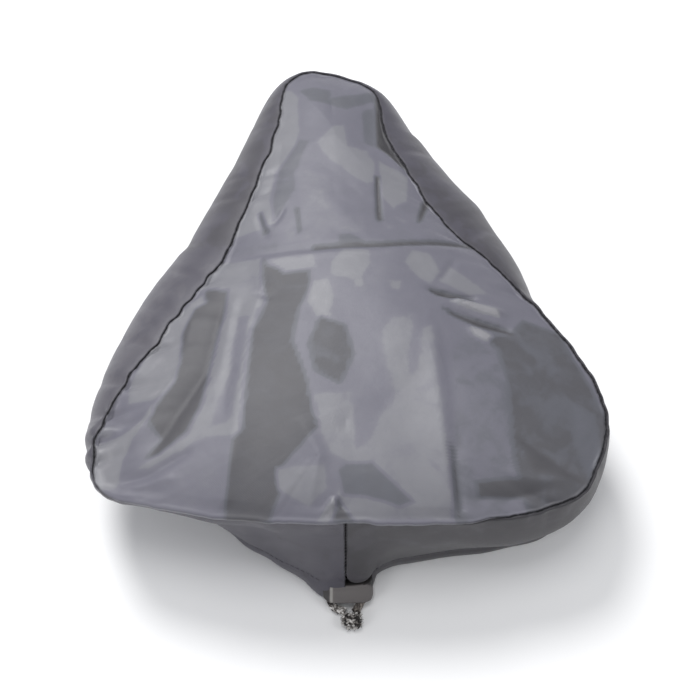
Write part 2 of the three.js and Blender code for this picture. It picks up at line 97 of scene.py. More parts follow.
SEAM_ROWS = table("at x y z out drop roll", [
    (0, 0, -99, 62, 3.5, 24, 3.5),
    (2, 10, -99, 62, 3.5, 24, 3.5),
    (5, 26, -99.5, 61.5, 2.8, 24, 3.0),
    (9, 60, -98.5, 60, 2.6, 25, 1.2),
    (12, 82, -95.5, 58.5, 2.8, 25, 0),
    (15, 106, -85.5, 57, 3.0, 25, 0),
    (18, 118.5, -66, 56, 3.2, 25, 0),
    (20.5, 122.4, -45, 56, 3.2, 25, 0),
    (24, 115.0, -20, 56.5, 2.6, 24, 0),
    (27.5, 98, 8, 57, 4.0, 23, 0),
    (32, 75, 36.5, 59, 19, 22, 0),
    (36.5, 49, 65, 60, 30, 22, 0),
    (40.5, 33, 95, 60, 26.5, 22, 0),
    (44.5, 20, 126, 58, 22, 20, 0),
    (47.5, 15.5, 153.5, 56, 10, 19, 0),
    (50, -3, 165.5, 55, 7, 19, 0),
    (52, -21, 168, 56, 7, 19, 0),
    (54, -32, 158.5, 57, 10.5, 19, 0),
    (57, -37, 133, 59, 17.5, 20, 0),
    (60, -42, 104, 61, 22, 22, 0),
    (64, -52, 72, 61, 25, 22, 0),
    (67.5, -61, 42, 61, 30, 22, 0),
    (71.5, -80, 12, 61, 28, 22, 0),
    (76, -99.5, -20, 60, 20, 21, 0),
    (79.5, -113, -47, 58, 10, 19, 0),
    (82, -117, -68.5, 57, 1, 17, 0),
    (84.5, -110.5, -84, 57, -9, 17, 0.5),
    (87.5, -88, -90.3, 60, -12.5, 20, 1.0),
    (91, -62, -96, 62, -4, 22, 3.0),
    (94, -38, -98.5, 62.5, -2, 23, 3.5),
    (97, -20, -99, 62, 2.6, 24, 4.0),
])
HEM_ROWS = table("at x y lean", [
    (0, 0, -114, -3.5),
    (2, 8.5, -109.5, 1),
    (3.5, 12.5, -100.5, 4),
    (5.5, 25, -94.5, 4),
    (9, 56, -89.5, 4),
    (12, 78, -86, 4.3),
    (15, 97, -79, 4.5),
    (17.5, 108, -65, 4.5),
    (20.5, 111, -46, 4.5),
    (24, 103.5, -18, 4.5),
    (27.5, 88, 7, 4.5),
    (32, 66, 36, 4.5),
    (36.5, 48, 67, 4.5),
    (40.5, 35, 98, 4.5),
    (44.5, 24, 128, 4.5),
    (47.5, 13, 148, 4.5),
    (50, -3, 156, 4.5),
    (52, -17, 156, 4.5),
    (54.5, -29, 146, 4.5),
    (57, -37, 124, 4.5),
    (60, -45, 97, 4.5),
    (64, -56, 63, 4.5),
    (67.5, -67, 32, 4.5),
    (71.5, -79, 0, 4.5),
    (76, -87, -30, 4.5),
    (79.5, -87, -50, 4.5),
    (82, -80, -57, 4.5),
    (84.5, -72, -64, 4.5),
    (87.5, -60.5, -73.5, 4.5),
    (91, -47.5, -84.5, 4.5),
    (94, -33, -93.8, 4),
    (97, -18.5, -103.2, 2.5),
    (98.5, -10, -111, -0.5),
])
MIDDLE_ROWS = table("at x y z", [
    (0, 0, -58, 76),
    (10, 1, -50, 77),
    (20, 2, -36, 78),
    (28, 2, -8, 77.5),
    (34, 1, 30, 75),
    (40, -2, 72, 70.5),
    (46, -6, 112, 66.5),
    (50, -8, 138, 63.5),
])

# %% Smooth curves through the tables


def through(rows, column, closed):
    """A smooth curve through one column of a table; a closed one repeats after 100 steps."""
    turns = (-1, 0, 1) if closed else (0,)
    at = np.array([row["at"] + turn * STATIONS for turn in turns for row in rows], float)
    value = np.array([row[column] for _ in turns for row in rows], float)
    before = np.maximum(np.arange(len(at)) - 1, 0)
    after = np.minimum(np.arange(len(at)) + 1, len(at) - 1)
    slope = (value[after] - value[before]) / (at[after] - at[before])

    def curve(where):
        where = np.asarray(where, float)
        where = np.mod(where, STATIONS) if closed else where
        i = np.clip(np.searchsorted(at, where, side="right") - 1, 0, len(at) - 2)
        span = at[i + 1] - at[i]
        t = (where - at[i]) / span
        rise = value[i] * (2 * t**3 - 3 * t**2 + 1) + value[i + 1] * (3 * t**2 - 2 * t**3)
        return rise + span * (slope[i] * (t**3 - 2 * t**2 + t) + slope[i + 1] * (t**3 - t**2))

    return curve


def curves(rows, columns, closed):
    return {name: through(rows, name, closed) for name in columns.split()}


SEAM = curves(SEAM_ROWS, "x y z out drop roll", True)
HEM = curves(HEM_ROWS, "x y lean", True)
MIDDLE = curves(MIDDLE_ROWS, "x y z", False)


def mix(a, b, t):
    return a + (b - a) * t


def bell(distance, width):
    return np.exp(-((distance / width) ** 2))


def outward(curve, at):
    """Level directions that point out of the loop, square to the curve; straight back at the slit."""
    reach = 0.25
    dx = curve["x"](at + reach) - curve["x"](at - reach)
    dy = curve["y"](at + reach) - curve["y"](at - reach)
    out = np.stack([dy, -dx, np.zeros_like(dx)], axis=-1)
    out /= np.linalg.norm(out, axis=-1, keepdims=True)
    out[np.isclose(np.mod(at, STATIONS), 0)] = (0, -1, 0)
    return out


def beside(point, out, distance, z):
    """Points so far out from a curve's points, at a height."""
    moved = point + out * np.asarray(distance, float)[..., None]
    moved[..., 2] = z
    return moved


def placed(points):
    """Points of the tables' frame, in millimetres, as points of the cover's frame, in metres."""
    return (np.asarray(points, float) + SHIFT) * MM


round_trip = np.linspace(0, STATIONS, 2001)
plain_seam = np.stack([SEAM[k](round_trip) for k in "xyz"], axis=-1)
SEAM_LENGTH = np.linalg.norm(np.diff(plain_seam, axis=0), axis=1).sum()
print(f"seam {SEAM_LENGTH:.0f} mm round")

# %% [markdown]
# ## The drawcord
# Round elastic of 3.5 mm is threaded through the casing and comes out at both sides of the opening at the
# back, where its two ends are tied together. A tube along the hem's own curve gives it one smooth line, and
# its ends follow listed points.

# %% The cord's route
CORD_DIAMETER = 3.5
CORD_LIFT = 3.4
CORD_STEP = 1.2               # from one point of the finished route to the next
LEAN_SHARE = 0.05             # how far the cord follows the casing's lean
CORD_RIGHT_END = [
    (4.8, -121.9, 1.9), (6.3, -119.6, 1.9), (7.9, -116.4, 1.9),
    (9.0, -111.5, 2.6), (11.1, -104.8, 3.5), (13.6, -100.4, 3.4),
]
CORD_LEFT_END = [
    (-15.6, -105.8, 3.4), (-12.0, -107.7, 3.4), (-8.4, -110.6, 3.3),
    (-7.7, -116.0, 2.0), (-5.4, -120.4, 1.9), (-1.0, -122.2, 1.9),
]


def smooth_line(points, step):
    """A centripetal curve through points, as points one step apart."""
    p = np.asarray(points, float)
    p = np.vstack([2 * p[0] - p[1], p, 2 * p[-1] - p[-2]])
    fine = []
    for a, b, c, d in zip(p, p[1:], p[2:], p[3:]):
        k = np.cumsum([0] + [np.linalg.norm(q - o) ** 0.5 for o, q in ((a, b), (b, c), (c, d))])
        for t in np.linspace(k[1], k[2], 12, endpoint=False):
            ab = mix(a, b, (t - k[0]) / (k[1] - k[0]))
            bc = mix(b, c, (t - k[1]) / (k[2] - k[1]))
            cd = mix(c, d, (t - k[2]) / (k[3] - k[2]))
            abc = mix(ab, bc, (t - k[0]) / (k[2] - k[0]))
            bcd = mix(bc, cd, (t - k[1]) / (k[3] - k[1]))
            fine.append(mix(abc, bcd, (t - k[1]) / (k[2] - k[1])))
    fine = np.array(fine + [p[-2]])
    run = np.concatenate([[0], np.cumsum(np.linalg.norm(np.diff(fine, axis=0), axis=1))])
    even = np.linspace(0, run[-1], max(2, round(run[-1] / step) + 1))
    return np.stack([np.interp(even, run, fine[:, k]) for k in range(3)], axis=-1), run[-1]


inside = np.arange(4, 97)
hem_points = np.stack([HEM["x"](inside), HEM["y"](inside), np.zeros(len(inside))], axis=-1)
in_casing = beside(hem_points, outward(HEM, inside), LEAN_SHARE * HEM["lean"](inside), CORD_LIFT)
route, route_length = smooth_line([*CORD_RIGHT_END, *in_casing, *CORD_LEFT_END], CORD_STEP)
CORD_ROUTE = placed(route)


def tube(name, line, radius, sides):
    """A round tube along a line of points, closed at both ends, with its turn and length as UV."""
    line = [Vector(p) for p in line]
    bm = bmesh.new()
    uv = bm.loops.layers.uv.new("along")
    rings, side, run = [], None, 0.0
    for i, p in enumerate(line):
        tangent = (line[min(i + 1, len(line) - 1)] - line[max(i - 1, 0)]).normalized()
        if side is None:
            side = tangent.cross(Vector((0, 0, 1))).normalized()
        side = (side - side.dot(tangent) * tangent).normalized()
        up = side.cross(tangent)
        run += (p - line[i - 1]).length if i else 0
        ring = [bm.verts.new(p + radius * (math.cos(a) * side + math.sin(a) * up))
                for a in (2 * math.pi * k / sides for k in range(sides))]
        rings.append((ring, run))
    for (a, run_a), (b, run_b) in zip(rings, rings[1:]):
        for k in range(sides):
            face = bm.faces.new((a[k], a[(k + 1) % sides], b[(k + 1) % sides], b[k]))
            for loop, where in zip(face.loops, ((k, run_a), (k + 1, run_a), (k + 1, run_b), (k, run_b))):
                loop[uv].uv = (where[0] / sides * 2 * math.pi * radius, where[1])
    bm.faces.new(list(reversed(rings[0][0])))
    bm.faces.new(rings[-1][0])
    bmesh.ops.recalc_face_normals(bm, faces=bm.faces)
    return finished(name, bm)


def finished(name, bm, smooth=True):
    """A mesh object at the origin from a bmesh, which is freed."""
    data = bpy.data.meshes.new(name)
    bm.to_mesh(data)
    bm.free()
    data.polygons.foreach_set("use_smooth", [smooth] * len(data.polygons))
    made = bpy.data.objects.new(name, data)
    bpy.context.scene.collection.objects.link(made)
    return made


CORE_SHARE = 0.96             # the tube is a little thinner than the cord, as a braid covers what shows
CORD_SIDES = 14

cord_core = tube("drawcord_elastic", CORD_ROUTE, 0.5 * CORD_DIAMETER * MM * CORE_SHARE, CORD_SIDES)
print("cord tube", len(cord_core.data.polygons), "faces")

# %% [markdown]
# ## How the cloth lies
# Folded in its packet, the cloth took creases that stay: one straight across, and others along its
# length. The cloth bends sharply at a crease and lies nearly flat to each side of it, so a crease is
# a line through three points with a rise (or fall) and the widths over which each side comes back.
# Left and right are as seen looking along the line from its first point to its last.

# %% The creases of the top
CREASES = table("rise left right x1 y1 x2 y2 x3 y3", [
    (-0.9, 2.5, 4, -66, 38, -41, 38.5, -13, 39),     # the packing crease across, its left half
    (-1.5, 2.2, 4, -16, 39, 19, 41, 64, 49),         # and its right half
    (0.6, 14, 3, -66, 33, -14, 34.5, 55, 42),        # the cloth swells again just behind it
    (1.7, 18, 12, -55, -99, -48, -49, -45, -7),      # the long ridge on the left
    (1.3, 9, 9, -45, -7, -40, 20, -41.5, 36),        # and on up to the packing crease
    (1.6, 18, 5, 47.5, -99, 44.6, -55, 41, -6),      # the long ridge on the right
    (-1.9, 2.5, 6, 51.3, -99, 50, -84, 48, -66),     # the valley close beside it
    (-1.4, 1.6, 2.0, 16.6, 58, 16.2, 71, 16, 87),    # short ones toward the front
    (-1.6, 1.8, 2.2, 36.5, 60, 40.6, 74, 44.5, 84),
    (-2.8, 5, 5, 36, 91, 25, 112, 19, 150),          # the fold along the front's right side
    (1.2, 7, 2.5, 35, 92, 17, 109, 16, 156),         # and the edge that the flat top drops from
    (1.0, 1.5, 1.5, 28, 107, 23, 119, 21, 130),      # with a thin pleat in it
    (-1.0, 2.5, 3, 45.8, 21, 49.6, 28, 54, 36),      # pinch folds on the right
    (-3.0, 3, 3.5, 40, 15.5, 50.4, 13.5, 64, 13),
    (2.6, 3.5, 3.5, 52, 11.5, 63, 7.6, 77, 6.4),
    (-3.0, 3.5, 5, 50, 4.5, 63, -0.5, 80, -4),
    (1.3, 4, 6, 59, -5, 63.8, -8, 69, -11),
    (-1.9, 9, 7, -89, -71, -65, -29, -58.5, 17),     # streaks that run down to the left corner
    (1.6, 8, 13, -103, -68, -80, -30, -73, 11),
    (-1.4, 6, 5, -107, -83, -89, -79.5, -70, -70),
    (-0.7, 4, 5, -57, -54, -53.5, -20, -51, 11),
    (-1.5, 4, 4, -113, -48, -103, -53, -92, -51),    # a small fold that the seam pulls in
    (0.9, 5, 5, -106, -82, -93, -85, -77, -82),
    (-0.9, 2.5, 3, -44.7, 66, -42, 56.6, -39, 50),   # small wrinkles left of the front
    (-0.9, 2.5, 3, -31.4, 67, -33.7, 60.7, -37, 57),
    (-0.5, 6, 8, -43, 73, -35.6, 89, -33.8, 115),
    (-1.0, 2.5, 3, -43.5, 14.5, -40, 12.7, -36, 10.5),
    (1.0, 9, 7, -16, -96, -11.6, -75, -21, -56),
    (2.2, 2, 4, -11, -101, -7.5, -97, -4, -92.5),    # the little fold at the back edge
    (-1.8, 3, 2, 2, -101, -0.5, -97, -4, -92.5),
    (1.1, 8, 8, 72, -79, 88, -82, 105, -78),
    (-1.2, 6, 6, 56, -91, 74, -90, 92, -85),
    (-1.3, 6, 7, 79, -62, 91, -70, 108, -80),
])
ROUNDING = 0.6            # the bend at a crease, in millimetres
END_FADE, END_POWER = 0.75, 6      # a crease loses this share of its rise, only near its ends


def beside_line(x, y, points):
    """How far places are from a line of three points, positive on its left, and how far along it."""
    nearest = np.full(np.shape(x), np.inf)
    side, along = np.zeros(np.shape(x)), np.zeros(np.shape(x))
    for i, ((ax, ay), (bx, by)) in enumerate(zip(points, points[1:])):
        dx, dy = bx - ax, by - ay
        t = np.clip(((x - ax) * dx + (y - ay) * dy) / (dx**2 + dy**2), 0, 1)
        away = np.hypot(x - mix(ax, bx, t), y - mix(ay, by, t))
        closer = away < nearest
        nearest = np.where(closer, away, nearest)
        side = np.where(closer, np.sign(dx * (y - ay) - dy * (x - ax)), side)
        along = np.where(closer, (i + t) / (len(points) - 1), along)
    return nearest * side, along


def crease(x, y, rows):
    """How far creases lift the cloth at places."""
    rise = np.zeros(np.shape(x))
    for fold in rows:
        away, along = beside_line(x, y, [(fold[f"x{k}"], fold[f"y{k}"]) for k in (1, 2, 3)])
        width = np.where(away > 0, fold["left"], fold["right"])
        soft = np.sqrt(away**2 + ROUNDING**2) - ROUNDING
        ends = 1 - END_FADE * (2 * along - 1) ** END_POWER
        rise += fold["rise"] * ends * np.maximum(0, 1 - soft / width) ** 2
    return rise


# %% [markdown]
# Between the creases, cloth that has been crumpled and smoothed out again is a patchwork of small flat
# facets. Random heights at the corners of a warped net of triangles, joined by flat faces, give that.
# Slack adds slow waves. Sewing draws the cloth in a little, so that small puckers stand square to the
# seam, deepest where the photograph shows them.

# %% Facets, slack and puckers
NET = 64                  # heights each way in the net, which then repeats
SKEW = 0.366              # slants the net's squares so that their halves are even triangles


def facets(x, y, size, seed):
    """Heights from -1 to 1 of cloth crumpled into flat facets of about this size."""
    heights = np.random.default_rng(seed).uniform(-1, 1, (NET, NET))
    warped_x = x + 0.34 * size * np.sin(y / (0.8 * size) + seed) + 0.16 * size * np.sin(y / (0.31 * size))
    warped_y = y + 0.34 * size * np.sin(x / (0.7 * size) + 2 * seed) + 0.16 * size * np.sin(x / (0.27 * size))
    skew = SKEW * (warped_x + warped_y) / size
    u, v = warped_x / size + skew, warped_y / size + skew
    i, j = np.floor(u).astype(int), np.floor(v).astype(int)
    u, v = u - i, v - j
    corner = heights[i % NET, j % NET]
    far = heights[(i + 1) % NET, (j + 1) % NET]
    side = np.where(u > v, heights[(i + 1) % NET, j % NET], heights[i % NET, (j + 1) % NET])
    low, high = np.minimum(u, v), np.maximum(u, v)
    return (1 - high) * corner + (high - low) * side + low * far


def slack(x, y):
    """Slow waves of cloth that isn't stretched."""
    return 0.7 * np.sin(x / 19 + 0.6) * np.sin(y / 23 + 1.1) + 0.4 * np.sin((x + y) / 13)


PUCKER_ROWS = table("at deep", [
    (0, 0.02), (8, 0.10), (14, 0.45), (20, 0.35), (26, 0.30), (34, 0.25), (44, 0.30), (50, 0.20),
    (56, 0.50), (64, 0.60), (72, 0.95), (80, 1.15), (84, 0.50), (92, 0.05),
])
PUCKER = through(PUCKER_ROWS, "deep", True)


def uneven(at, waves, seed):
    """A smooth random curve from about -1 to 1 that closes round the cover, with so many waves."""
    turn, radius = 2 * math.pi * np.asarray(at) / STATIONS, waves / (2 * math.pi)
    return np.array([1.6 * noise.noise((radius * math.cos(a), radius * math.sin(a), seed)) for a in turn])


def pucker(at):
    """Depth of the puckers that the sewing draws in, shared by both sides of the seam."""
    fine, coarse = uneven(at, 120, 3.3), uneven(at, 52, 8.1)
    return PUCKER(at) * (0.9 * fine - 1.5 * np.maximum(0, coarse - 0.25))


WEDGES = table("at deep wide", [
    (61.5, -1.0, 0.25), (63.2, -1.3, 0.3), (69.3, -1.2, 0.3), (74.6, -1.3, 0.3), (77.4, -2.1, 0.3),
    (79.3, -2.6, 0.28), (80.3, 1.2, 0.3), (80.9, -2.8, 0.25), (81.6, 1.0, 0.25), (82.2, -1.8, 0.3),
    (13.2, -0.9, 0.3), (17.4, -1.1, 0.35), (29.8, -0.9, 0.3), (34.5, -1.0, 0.3), (42.4, -1.1, 0.3),
])
WEDGE_REACH = 11.0


def wedge(at):
    """The few sharp tucks that are caught in the seam."""
    return sum(row["deep"] * bell(at - row["at"], row["wide"]) for row in WEDGES)


def wander(at):
    """The seam's own slight wandering to and fro."""
    return (0.5 + 0.7 * PUCKER(at)) * (uneven(at, 60, 1.7) + 0.5 * uneven(at, 130, 5.2)
                                   + 0.3 * uneven(at, 180, 9.4))


# %% [markdown]
# ## Cloth as a grid
# A piece of cloth is drawn as rows that run round the cover and columns that run across the cloth.
# A few rows fix the shape, and a smooth curve through them fills in the rest. Points that fall
# together are joined, so that the middle line of the top is closed.

# %% From rows to a mesh
FINER = 5                 # columns to each step of "at"
COLUMNS = np.arange(STATIONS * FINER + 1) / FINER
CLOTH = 0.35              # thickness of the real cloth, in millimetres


def filled(rows, between, before=None):
    """More rows, on smooth curves through the given ones. The curves pass the first row as if they
    came from the row "before" it."""
    rows = np.asarray(rows, float)
    before = 2 * rows[0] - rows[1] if before is None else before
    ends = np.concatenate([before[None], rows, 2 * rows[-1:] - rows[-2:-1]])
    fine = []
    for i in range(len(rows) - 1):
        a, b, c, d = ends[i:i + 4]
        for t in np.arange(between) / between:
            fine.append(0.5 * (2 * b + (c - a) * t + (2 * a - 5 * b + 4 * c - d) * t**2
                               + (3 * b - a - 3 * c + d) * t**3))
    return np.array([*fine, rows[-1]])


def cloth(name, grid, flat_uv):
    """A mesh object from a grid of points in millimetres, with its UV in metres."""
    rows, columns = grid.shape[:2]
    keys = np.round(grid.reshape(-1, 3) * 1000).astype(int)
    _, first, where = np.unique(keys, axis=0, return_index=True, return_inverse=True)
    where = where.reshape(rows, columns)
    data = bpy.data.meshes.new(name)
    corners = np.stack([where[:-1, :-1], where[1:, :-1], where[1:, 1:], where[:-1, 1:]], axis=-1)
    uvs = np.stack([flat_uv[:-1, :-1], flat_uv[1:, :-1], flat_uv[1:, 1:], flat_uv[:-1, 1:]], axis=-2)
    faces, face_uvs = [], []
    for corner, uv in zip(corners.reshape(-1, 4), uvs.reshape(-1, 4, 2)):
        keep = [k for k in range(4) if corner[k] != corner[k - 1]]
        if len(keep) >= 3 and len({corner[k] for k in keep}) == len(keep):
            faces.append([int(corner[k]) for k in keep])
            face_uvs.extend(uv[k] for k in keep)
    data.from_pydata(placed(grid.reshape(-1, 3)[first]).tolist(), [], faces)
    layer = data.uv_layers.new(name="threads")
    layer.data.foreach_set("uv", (np.array(face_uvs) * MM).astype(np.float32).ravel())
    data.polygons.foreach_set("use_smooth", [True] * len(data.polygons))
    data.update()
    made = bpy.data.objects.new(name, data)
    bpy.context.scene.collection.objects.link(made)
    return made


# %% [markdown]
# ## The top panel
# Rings run from the middle line out to the seam. The edge rolls over at the back, and everywhere it
# turns down inside as seam allowance. The creases fade out before the seam, where the puckers begin.

# %% The top panel's surface
ALLOWANCE = 4.5           # seam allowance
BETWEEN = 0.5             # gap from the top's turned edge to the band's
SEAM_GAP = 0.5 * BETWEEN
CROWN_POWER = 2.1         # the crown falls away from the middle line with this power
CALM_AT_SEAM = 3.5        # creases come up over this many millimetres from the seam
RINGS = (0, 0.09, 0.18, 0.27, 0.36, 0.44, 0.52, 0.60, 0.67, 0.74, 0.80, 0.86, 0.91, 0.95)
ROWS_BETWEEN = 4
EDGE = table("out up out_rolled up_rolled", [
    (-1.6, 0.08, 1.4, 3.2),
    (-0.8, 0.02, 3.1, 2.7),
    (-SEAM_GAP - 0.1, -0.25, 3.5, 1.6),
    (-SEAM_GAP, -0.9, 2.4, -2.0),
    (-SEAM_GAP, -2.6, 0.5, -3.4),
    (-SEAM_GAP, -ALLOWANCE, -SEAM_GAP, -5.4),
])
ROLL_ROWS = table("at roll", [
    (0, 1), (4, 1), (7, 0.8), (10, 0.25), (12, 0), (50, 0), (82, 0), (84, 0.3), (87, 0.9), (92, 1),
])
ROLL = through(ROLL_ROWS, "roll", True)
PUCKER_REACH = 7.0        # the puckers fade over this many millimetres from the seam
FACETS = table("size high seed", [(36, 0.7, 3), (19, 0.22, 11)])


def seam_points(at):
    line = np.stack([SEAM["x"](at), SEAM["y"](at), SEAM["z"](at)], axis=-1)
    return line + outward(SEAM, at) * wander(at)[:, None]


def top_surface(at):
    roll = np.clip(ROLL(at), 0, 1)
    line, out = seam_points(at), outward(SEAM, at)
    edge = [beside(line, out, mix(row["out"], row["out_rolled"], roll),
                   line[:, 2] + mix(row["up"], row["up_rolled"], roll)) for row in EDGE]
    inner = 0.25 * STATIONS * (1 - np.cos(2 * math.pi * at / STATIONS))
    start = np.stack([MIDDLE[k](inner) for k in "xyz"], axis=-1)
    rings = []
    for t in RINGS:
        ring = mix(start, edge[0], t)
        ring[:, 2] = mix(start[:, 2], edge[0][:, 2], t**CROWN_POWER)
        rings.append(ring)
    grid = filled([*rings, *edge], ROWS_BETWEEN, before=rings[1][::-1])
    from_seam = np.hypot(grid[..., 0] - line[:, 0], grid[..., 1] - line[:, 1])
    inner_rows = np.arange(len(grid))[:, None] <= ROWS_BETWEEN * len(RINGS)
    grid[..., 2] += np.where(inner_rows, pucker(at) * bell(from_seam, PUCKER_REACH), 0)
    grid[..., 2] += np.where(inner_rows, wedge(at) * bell(from_seam, WEDGE_REACH), 0)
    return grid


top_grid = top_surface(COLUMNS)
top_panel = cloth("top_panel_cloth", top_grid, top_grid[..., :2])


def points_of(piece):
    """A piece's points in the tables' frame, in millimetres."""
    where = np.empty(3 * len(piece.data.vertices))
    piece.data.vertices.foreach_get("co", where)
    return where.reshape(-1, 3) / MM - SHIFT


def inside_outline(x, y, points):
    """How far places are inside a closed outline; negative outside it."""
    nearest, within = np.full(np.shape(x), np.inf), np.zeros(np.shape(x), bool)
    for (ax, ay), (bx, by) in zip(points, [*points[1:], points[0]]):
        t = np.clip(((x - ax) * (bx - ax) + (y - ay) * (by - ay)) / ((bx - ax)**2 + (by - ay)**2), 0, 1)
        nearest = np.minimum(nearest, np.hypot(x - mix(ax, bx, t), y - mix(ay, by, t)))
        if ay != by:
            within ^= ((ay > y) != (by > y)) & (x < ax + (y - ay) * (bx - ax) / (by - ay))
    return np.where(within, nearest, -nearest)


# %% [markdown]
# The rings meet on the middle line at an angle, which would show as a sharp line, so the crown there is
# relaxed before the creases are laid over it.

# %% The crown relaxed, then creased
RELAXED = {"rows": 26, "rounds": 40}      # the rows nearest the middle line, and how often
CLOSE = 0.2               # points nearer than this become one, in millimetres
seam_outline = [tuple(p[:2]) for p in seam_points(COLUMNS[:-1:4])]


def carried(piece, grid, values):
    """Values of a grid's points as values of a piece's points, each from the nearest."""
    known = np.ravel(values)
    tree = kdtree.KDTree(len(known))
    for i, point in enumerate(grid.reshape(-1, 3).tolist()):
        tree.insert(point, i)
    tree.balance()
    return np.array([known[tree.find(point)[1]] for point in points_of(piece).tolist()])


def relax(piece, grid):
    """Evens out the points that lie on the first rows, keeping the rest."""
    row_of = carried(piece, grid, np.broadcast_to(np.arange(len(grid))[:, None], grid.shape[:2]))
    bm = bmesh.new()
    bm.from_mesh(piece.data)
    inner = [v for v, row in zip(bm.verts, row_of) if row < RELAXED["rows"]]
    bmesh.ops.remove_doubles(bm, verts=inner, dist=CLOSE * MM)
    inner = [v for v in inner if v.is_valid]
    for _ in range(RELAXED["rounds"]):
        bmesh.ops.smooth_vert(bm, verts=inner, factor=0.5,
                              use_axis_x=False, use_axis_y=False, use_axis_z=True)
    bm.to_mesh(piece.data)
    bm.free()


def lay_creases(piece):
    """Lifts the cloth by its creases, slack and facets, which fade out before the seam."""
    where = points_of(piece)
    x, y = where[:, 0], where[:, 1]
    calm = np.clip(inside_outline(x, y, seam_outline) / CALM_AT_SEAM, 0, 1)
    rise = crease(x, y, CREASES) + slack(x, y)
    rise += sum(row["high"] * facets(x, y, row["size"], row["seed"]) for row in FACETS)
    where[:, 2] += calm * rise
    piece.data.vertices.foreach_set("co", placed(where).ravel())
    piece.data.update()


def mark(piece, name, values):
    """Stores one value for each point of a piece."""
    layer = piece.data.attributes.new(name, "FLOAT", "POINT")
    layer.data.foreach_set("value", np.asarray(values, np.float32))


# %% [markdown]
# Seams gather dirt and stay in shadow. "rim" is 1 at the turned edge and falls off over a millimetre of
# cloth, and the finish darkens the cloth there with dirt and painted shade, and dulls it.

# %% Marking the rim
RIM_WIDE = 0.55           # the dark line of a seam reaches this far over the cloth, in millimetres
RIM_ROWS = (2, 4)         # rows of EDGE where the rim begins, along a plain seam and under the roll


def rim_from(grid, row):
    """1 from a row on, and falling off before it."""
    down = np.concatenate([[np.zeros(grid.shape[1])],
                           np.cumsum(np.linalg.norm(np.diff(grid, axis=0), axis=2), axis=0)])
    return bell(np.maximum(0, down[row] - down), RIM_WIDE)


plain, rolled = (rim_from(top_grid, ROWS_BETWEEN * (len(RINGS) + k)) for k in RIM_ROWS)
relax(top_panel, top_grid)
mark(top_panel, "rim", carried(top_panel, top_grid, mix(plain, rolled, np.clip(ROLL(COLUMNS), 0, 1))))
lay_creases(top_panel)

# %% [markdown]
# In the photograph the coating is shiny in some places and dull in others, in patches with quite hard edges.
# One photograph can't tell wear from light on slack cloth, and the shades here are both: the coating's own
# patches, and painted highlights and painted shade where facets and folds turn toward the lamp or away from
# it.
# About half of the points that outline the patches were picked one by one in two crops of the photograph,
# enlarged three times. They are kept as the pixels that were picked. A line of sight through each pixel meets
# the solid's top, and that is the place on the cloth. A pick is no finer than a millimetre, so the places are
# rounded. The other points are given in millimetres.

# %% From the photograph to the top
ZOOM = 3
UPPER_CROP = (220, 60)        # corners of the two crops, in pixels of the photograph
LOWER_CROP = (80, 240)
PICTURE_MIDDLE = (346, 350)   # where the tables' middle shows, at the height that the camera looks at
PIXELS_PER_MM = 2.0           # at that height
NEAREST, UPPERMOST = 12, 6    # corners of the solid round a pixel; the rest of them may lie underneath

FOCAL = PIXELS_PER_MM * DISTANCE / MM
RIGHT = np.array((1.0, 0.0, 0.0))
UP = np.array((0.0, math.sin(ELEVATION), math.cos(ELEVATION)))
AHEAD = np.array((0.0, math.cos(ELEVATION), -math.sin(ELEVATION)))
EYE_AT = np.array((0.0, 0.0, LOOKS_AT.z / MM)) - DISTANCE / MM * AHEAD


def in_picture(points):
    """Pixels at which points of the tables' frame show."""
    away = points - EYE_AT
    shown = np.stack([away @ RIGHT, -away @ UP], axis=-1)
    return PICTURE_MIDDLE + FOCAL * shown / (away @ AHEAD)[:, None]


SOLID = np.unique(points_of(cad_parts["top_panel"]).round(3), axis=0)
SOLID_IN_PICTURE = in_picture(SOLID)


def on_top(crop, spot):
    """The place on the top, in millimetres, that shows at a spot of an enlarged crop."""
    pixel = np.array(crop) + np.array(spot) / ZOOM
    near = np.argsort(np.linalg.norm(SOLID_IN_PICTURE - pixel, axis=1))[:NEAREST]
    height = np.sort(SOLID[near, 2])[-UPPERMOST:].mean()
    right, down = (pixel - PICTURE_MIDDLE) / FOCAL
    ray = AHEAD + right * RIGHT - down * UP
    place = EYE_AT + (height - EYE_AT[2]) / ray[2] * ray
    return tuple(np.round(np.round(place[:2], 1)))     # to a tenth and then to a whole millimetre


def upper(*spots):
    return [on_top(UPPER_CROP, spot) for spot in spots]


def lower(*spots):
    return [on_top(LOWER_CROP, spot) for spot in spots]
